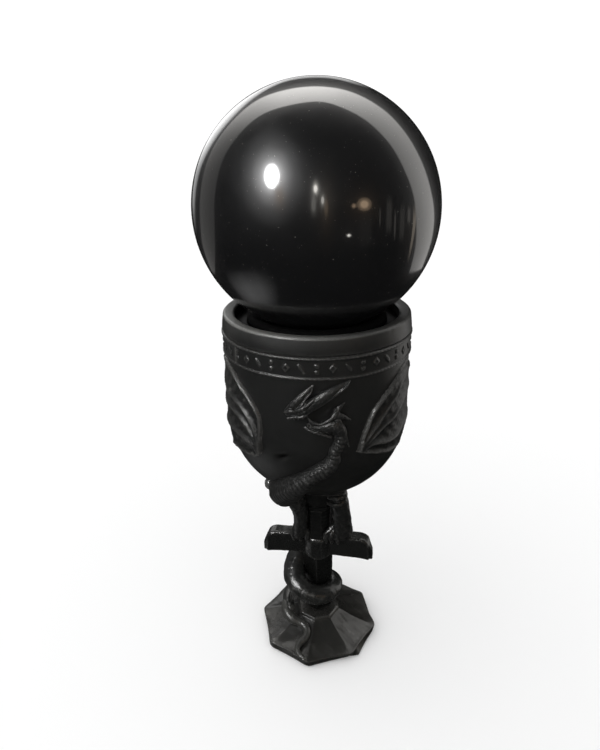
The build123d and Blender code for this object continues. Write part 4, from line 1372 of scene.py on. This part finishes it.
def make_sky():
    """Soft light from one side, a plain pale background, and hardly anything in reflections."""
    world = bpy.data.worlds.new("soft_sky")
    bpy.context.scene.world = world
    g = Graph(world)

    def for_rays(kind, others, these):
        ray = g.node("ShaderNodeLightPath", output=kind)
        return g.node("ShaderNodeMix", {"data_type": "FLOAT"}, _0=ray, _2=others, _3=these)

    way = g.node("ShaderNodeTexCoord", output="Generated")
    slant = g.node("ShaderNodeVectorMath", {"operation": "DOT_PRODUCT"}, "Value", _0=way, _1=SKY_SIDE)
    light = for_rays("Is Camera Ray", slant * SKY_SPREAD + SKY_LEVEL, SKY_BEHIND)
    light = for_rays("Is Glossy Ray", light, SKY_MIRRORED)
    g.node("ShaderNodeOutputWorld", Surface=g.node("ShaderNodeBackground", Color=WHITE, Strength=light))


def make_stage(settings):
    """A plain pale floor and sky, soft cards round the ball, and the camera."""
    bpy.context.scene.view_settings.view_transform = "Standard"
    make_camera(settings)
    make_floor(settings)
    make_sky()
    make_cards(settings)


# ------------------------------------------------------------------ operators
def step(identifier, label, text, group, *works):
    """An operator class that runs one part of the build with one group of settings."""

    def execute(self, context):
        for work in works:
            work(getattr(context.scene, group))
        return {"FINISHED"}

    members = {"bl_idname": "crystal." + identifier, "bl_label": label, "__doc__": text, "execute": execute}
    return type("CRYSTAL_OT_" + identifier, (bpy.types.Operator,), members)


def make_wings(resin):
    """Both wings."""
    for side in WING_FINGERS:
        make_wing(side, resin)


def make_legs(resin):
    """Both legs."""
    for node in LEG_PATHS:
        make_leg(node, resin)


STEPS = [
    step("ball", "Polished ball", "Make the polished ball", "goblet_ball", make_ball),
    step("bowl", "Bowl", "Make the goblet's bowl", "goblet_resin", make_bowl),
    step("band", "Band", "Make the patterned band", "goblet_resin", make_band),
    step("wings", "Wings", "Make both wings", "goblet_resin", make_wings),
    step("head", "Head", "Make the dragon's head", "goblet_resin", make_head),
    step("neck", "Neck", "Make the dragon's neck", "goblet_resin", make_neck),
    step("body", "Body", "Make the dragon's body", "goblet_resin", make_body),
    step("legs", "Legs", "Make both legs", "goblet_resin", make_legs),
    step("tail", "Tail", "Make the tail's coils and its end", "goblet_resin", make_tail, make_tail_end),
    step("sword", "Sword", "Make pommel, grip and blade", "goblet_resin", make_sword),
    step("guard", "Guard", "Make the cross guard", "goblet_resin", make_guard),
    step("foot", "Foot", "Make the eight-sided foot", "goblet_resin", make_foot),
    step("fittings", "Fittings", "Finish the ring, collar, rod, nuts and pad", "goblet_resin", finish_fittings),
    step("stage", "Stage", "Make floor, light and camera", "goblet_stage", make_stage),
]


class CRYSTAL_PT_build(bpy.types.Panel):
    """Lists the build's steps in the 3D view's sidebar."""

    bl_label = "Crystal Ball"
    bl_idname = "CRYSTAL_PT_build"
    bl_space_type = "VIEW_3D"
    bl_region_type = "UI"
    bl_category = "Crystal Ball"

    def draw(self, context):
        for operator in STEPS:
            self.layout.operator(operator.bl_idname)
        for group in (context.scene.goblet_ball, context.scene.goblet_resin, context.scene.goblet_stage):
            box = self.layout.box()
            for key in group.__annotations__:
                box.prop(group, key)


GROUPS = {"goblet_ball": BallSettings, "goblet_resin": ResinSettings, "goblet_stage": StageSettings}


def register():
    """Register the classes and hang the settings on the scene."""
    for group in GROUPS.values():
        bpy.utils.register_class(group)
    for name, group in GROUPS.items():
        setattr(bpy.types.Scene, name, bpy.props.PointerProperty(type=group))
    for operator in STEPS:
        bpy.utils.register_class(operator)
    bpy.utils.register_class(CRYSTAL_PT_build)


def unregister():
    """Take everything off again."""
    bpy.utils.unregister_class(CRYSTAL_PT_build)
    for operator in reversed(STEPS):
        bpy.utils.unregister_class(operator)
    for name in GROUPS:
        delattr(bpy.types.Scene, name)
    for group in GROUPS.values():
        bpy.utils.unregister_class(group)


def main():
    """Run every step in order and write the two boxes."""
    register()
    for operator in STEPS:
        getattr(bpy.ops.crystal, operator.bl_idname.split(".")[1])()


if __name__ == "__main__":
    main()
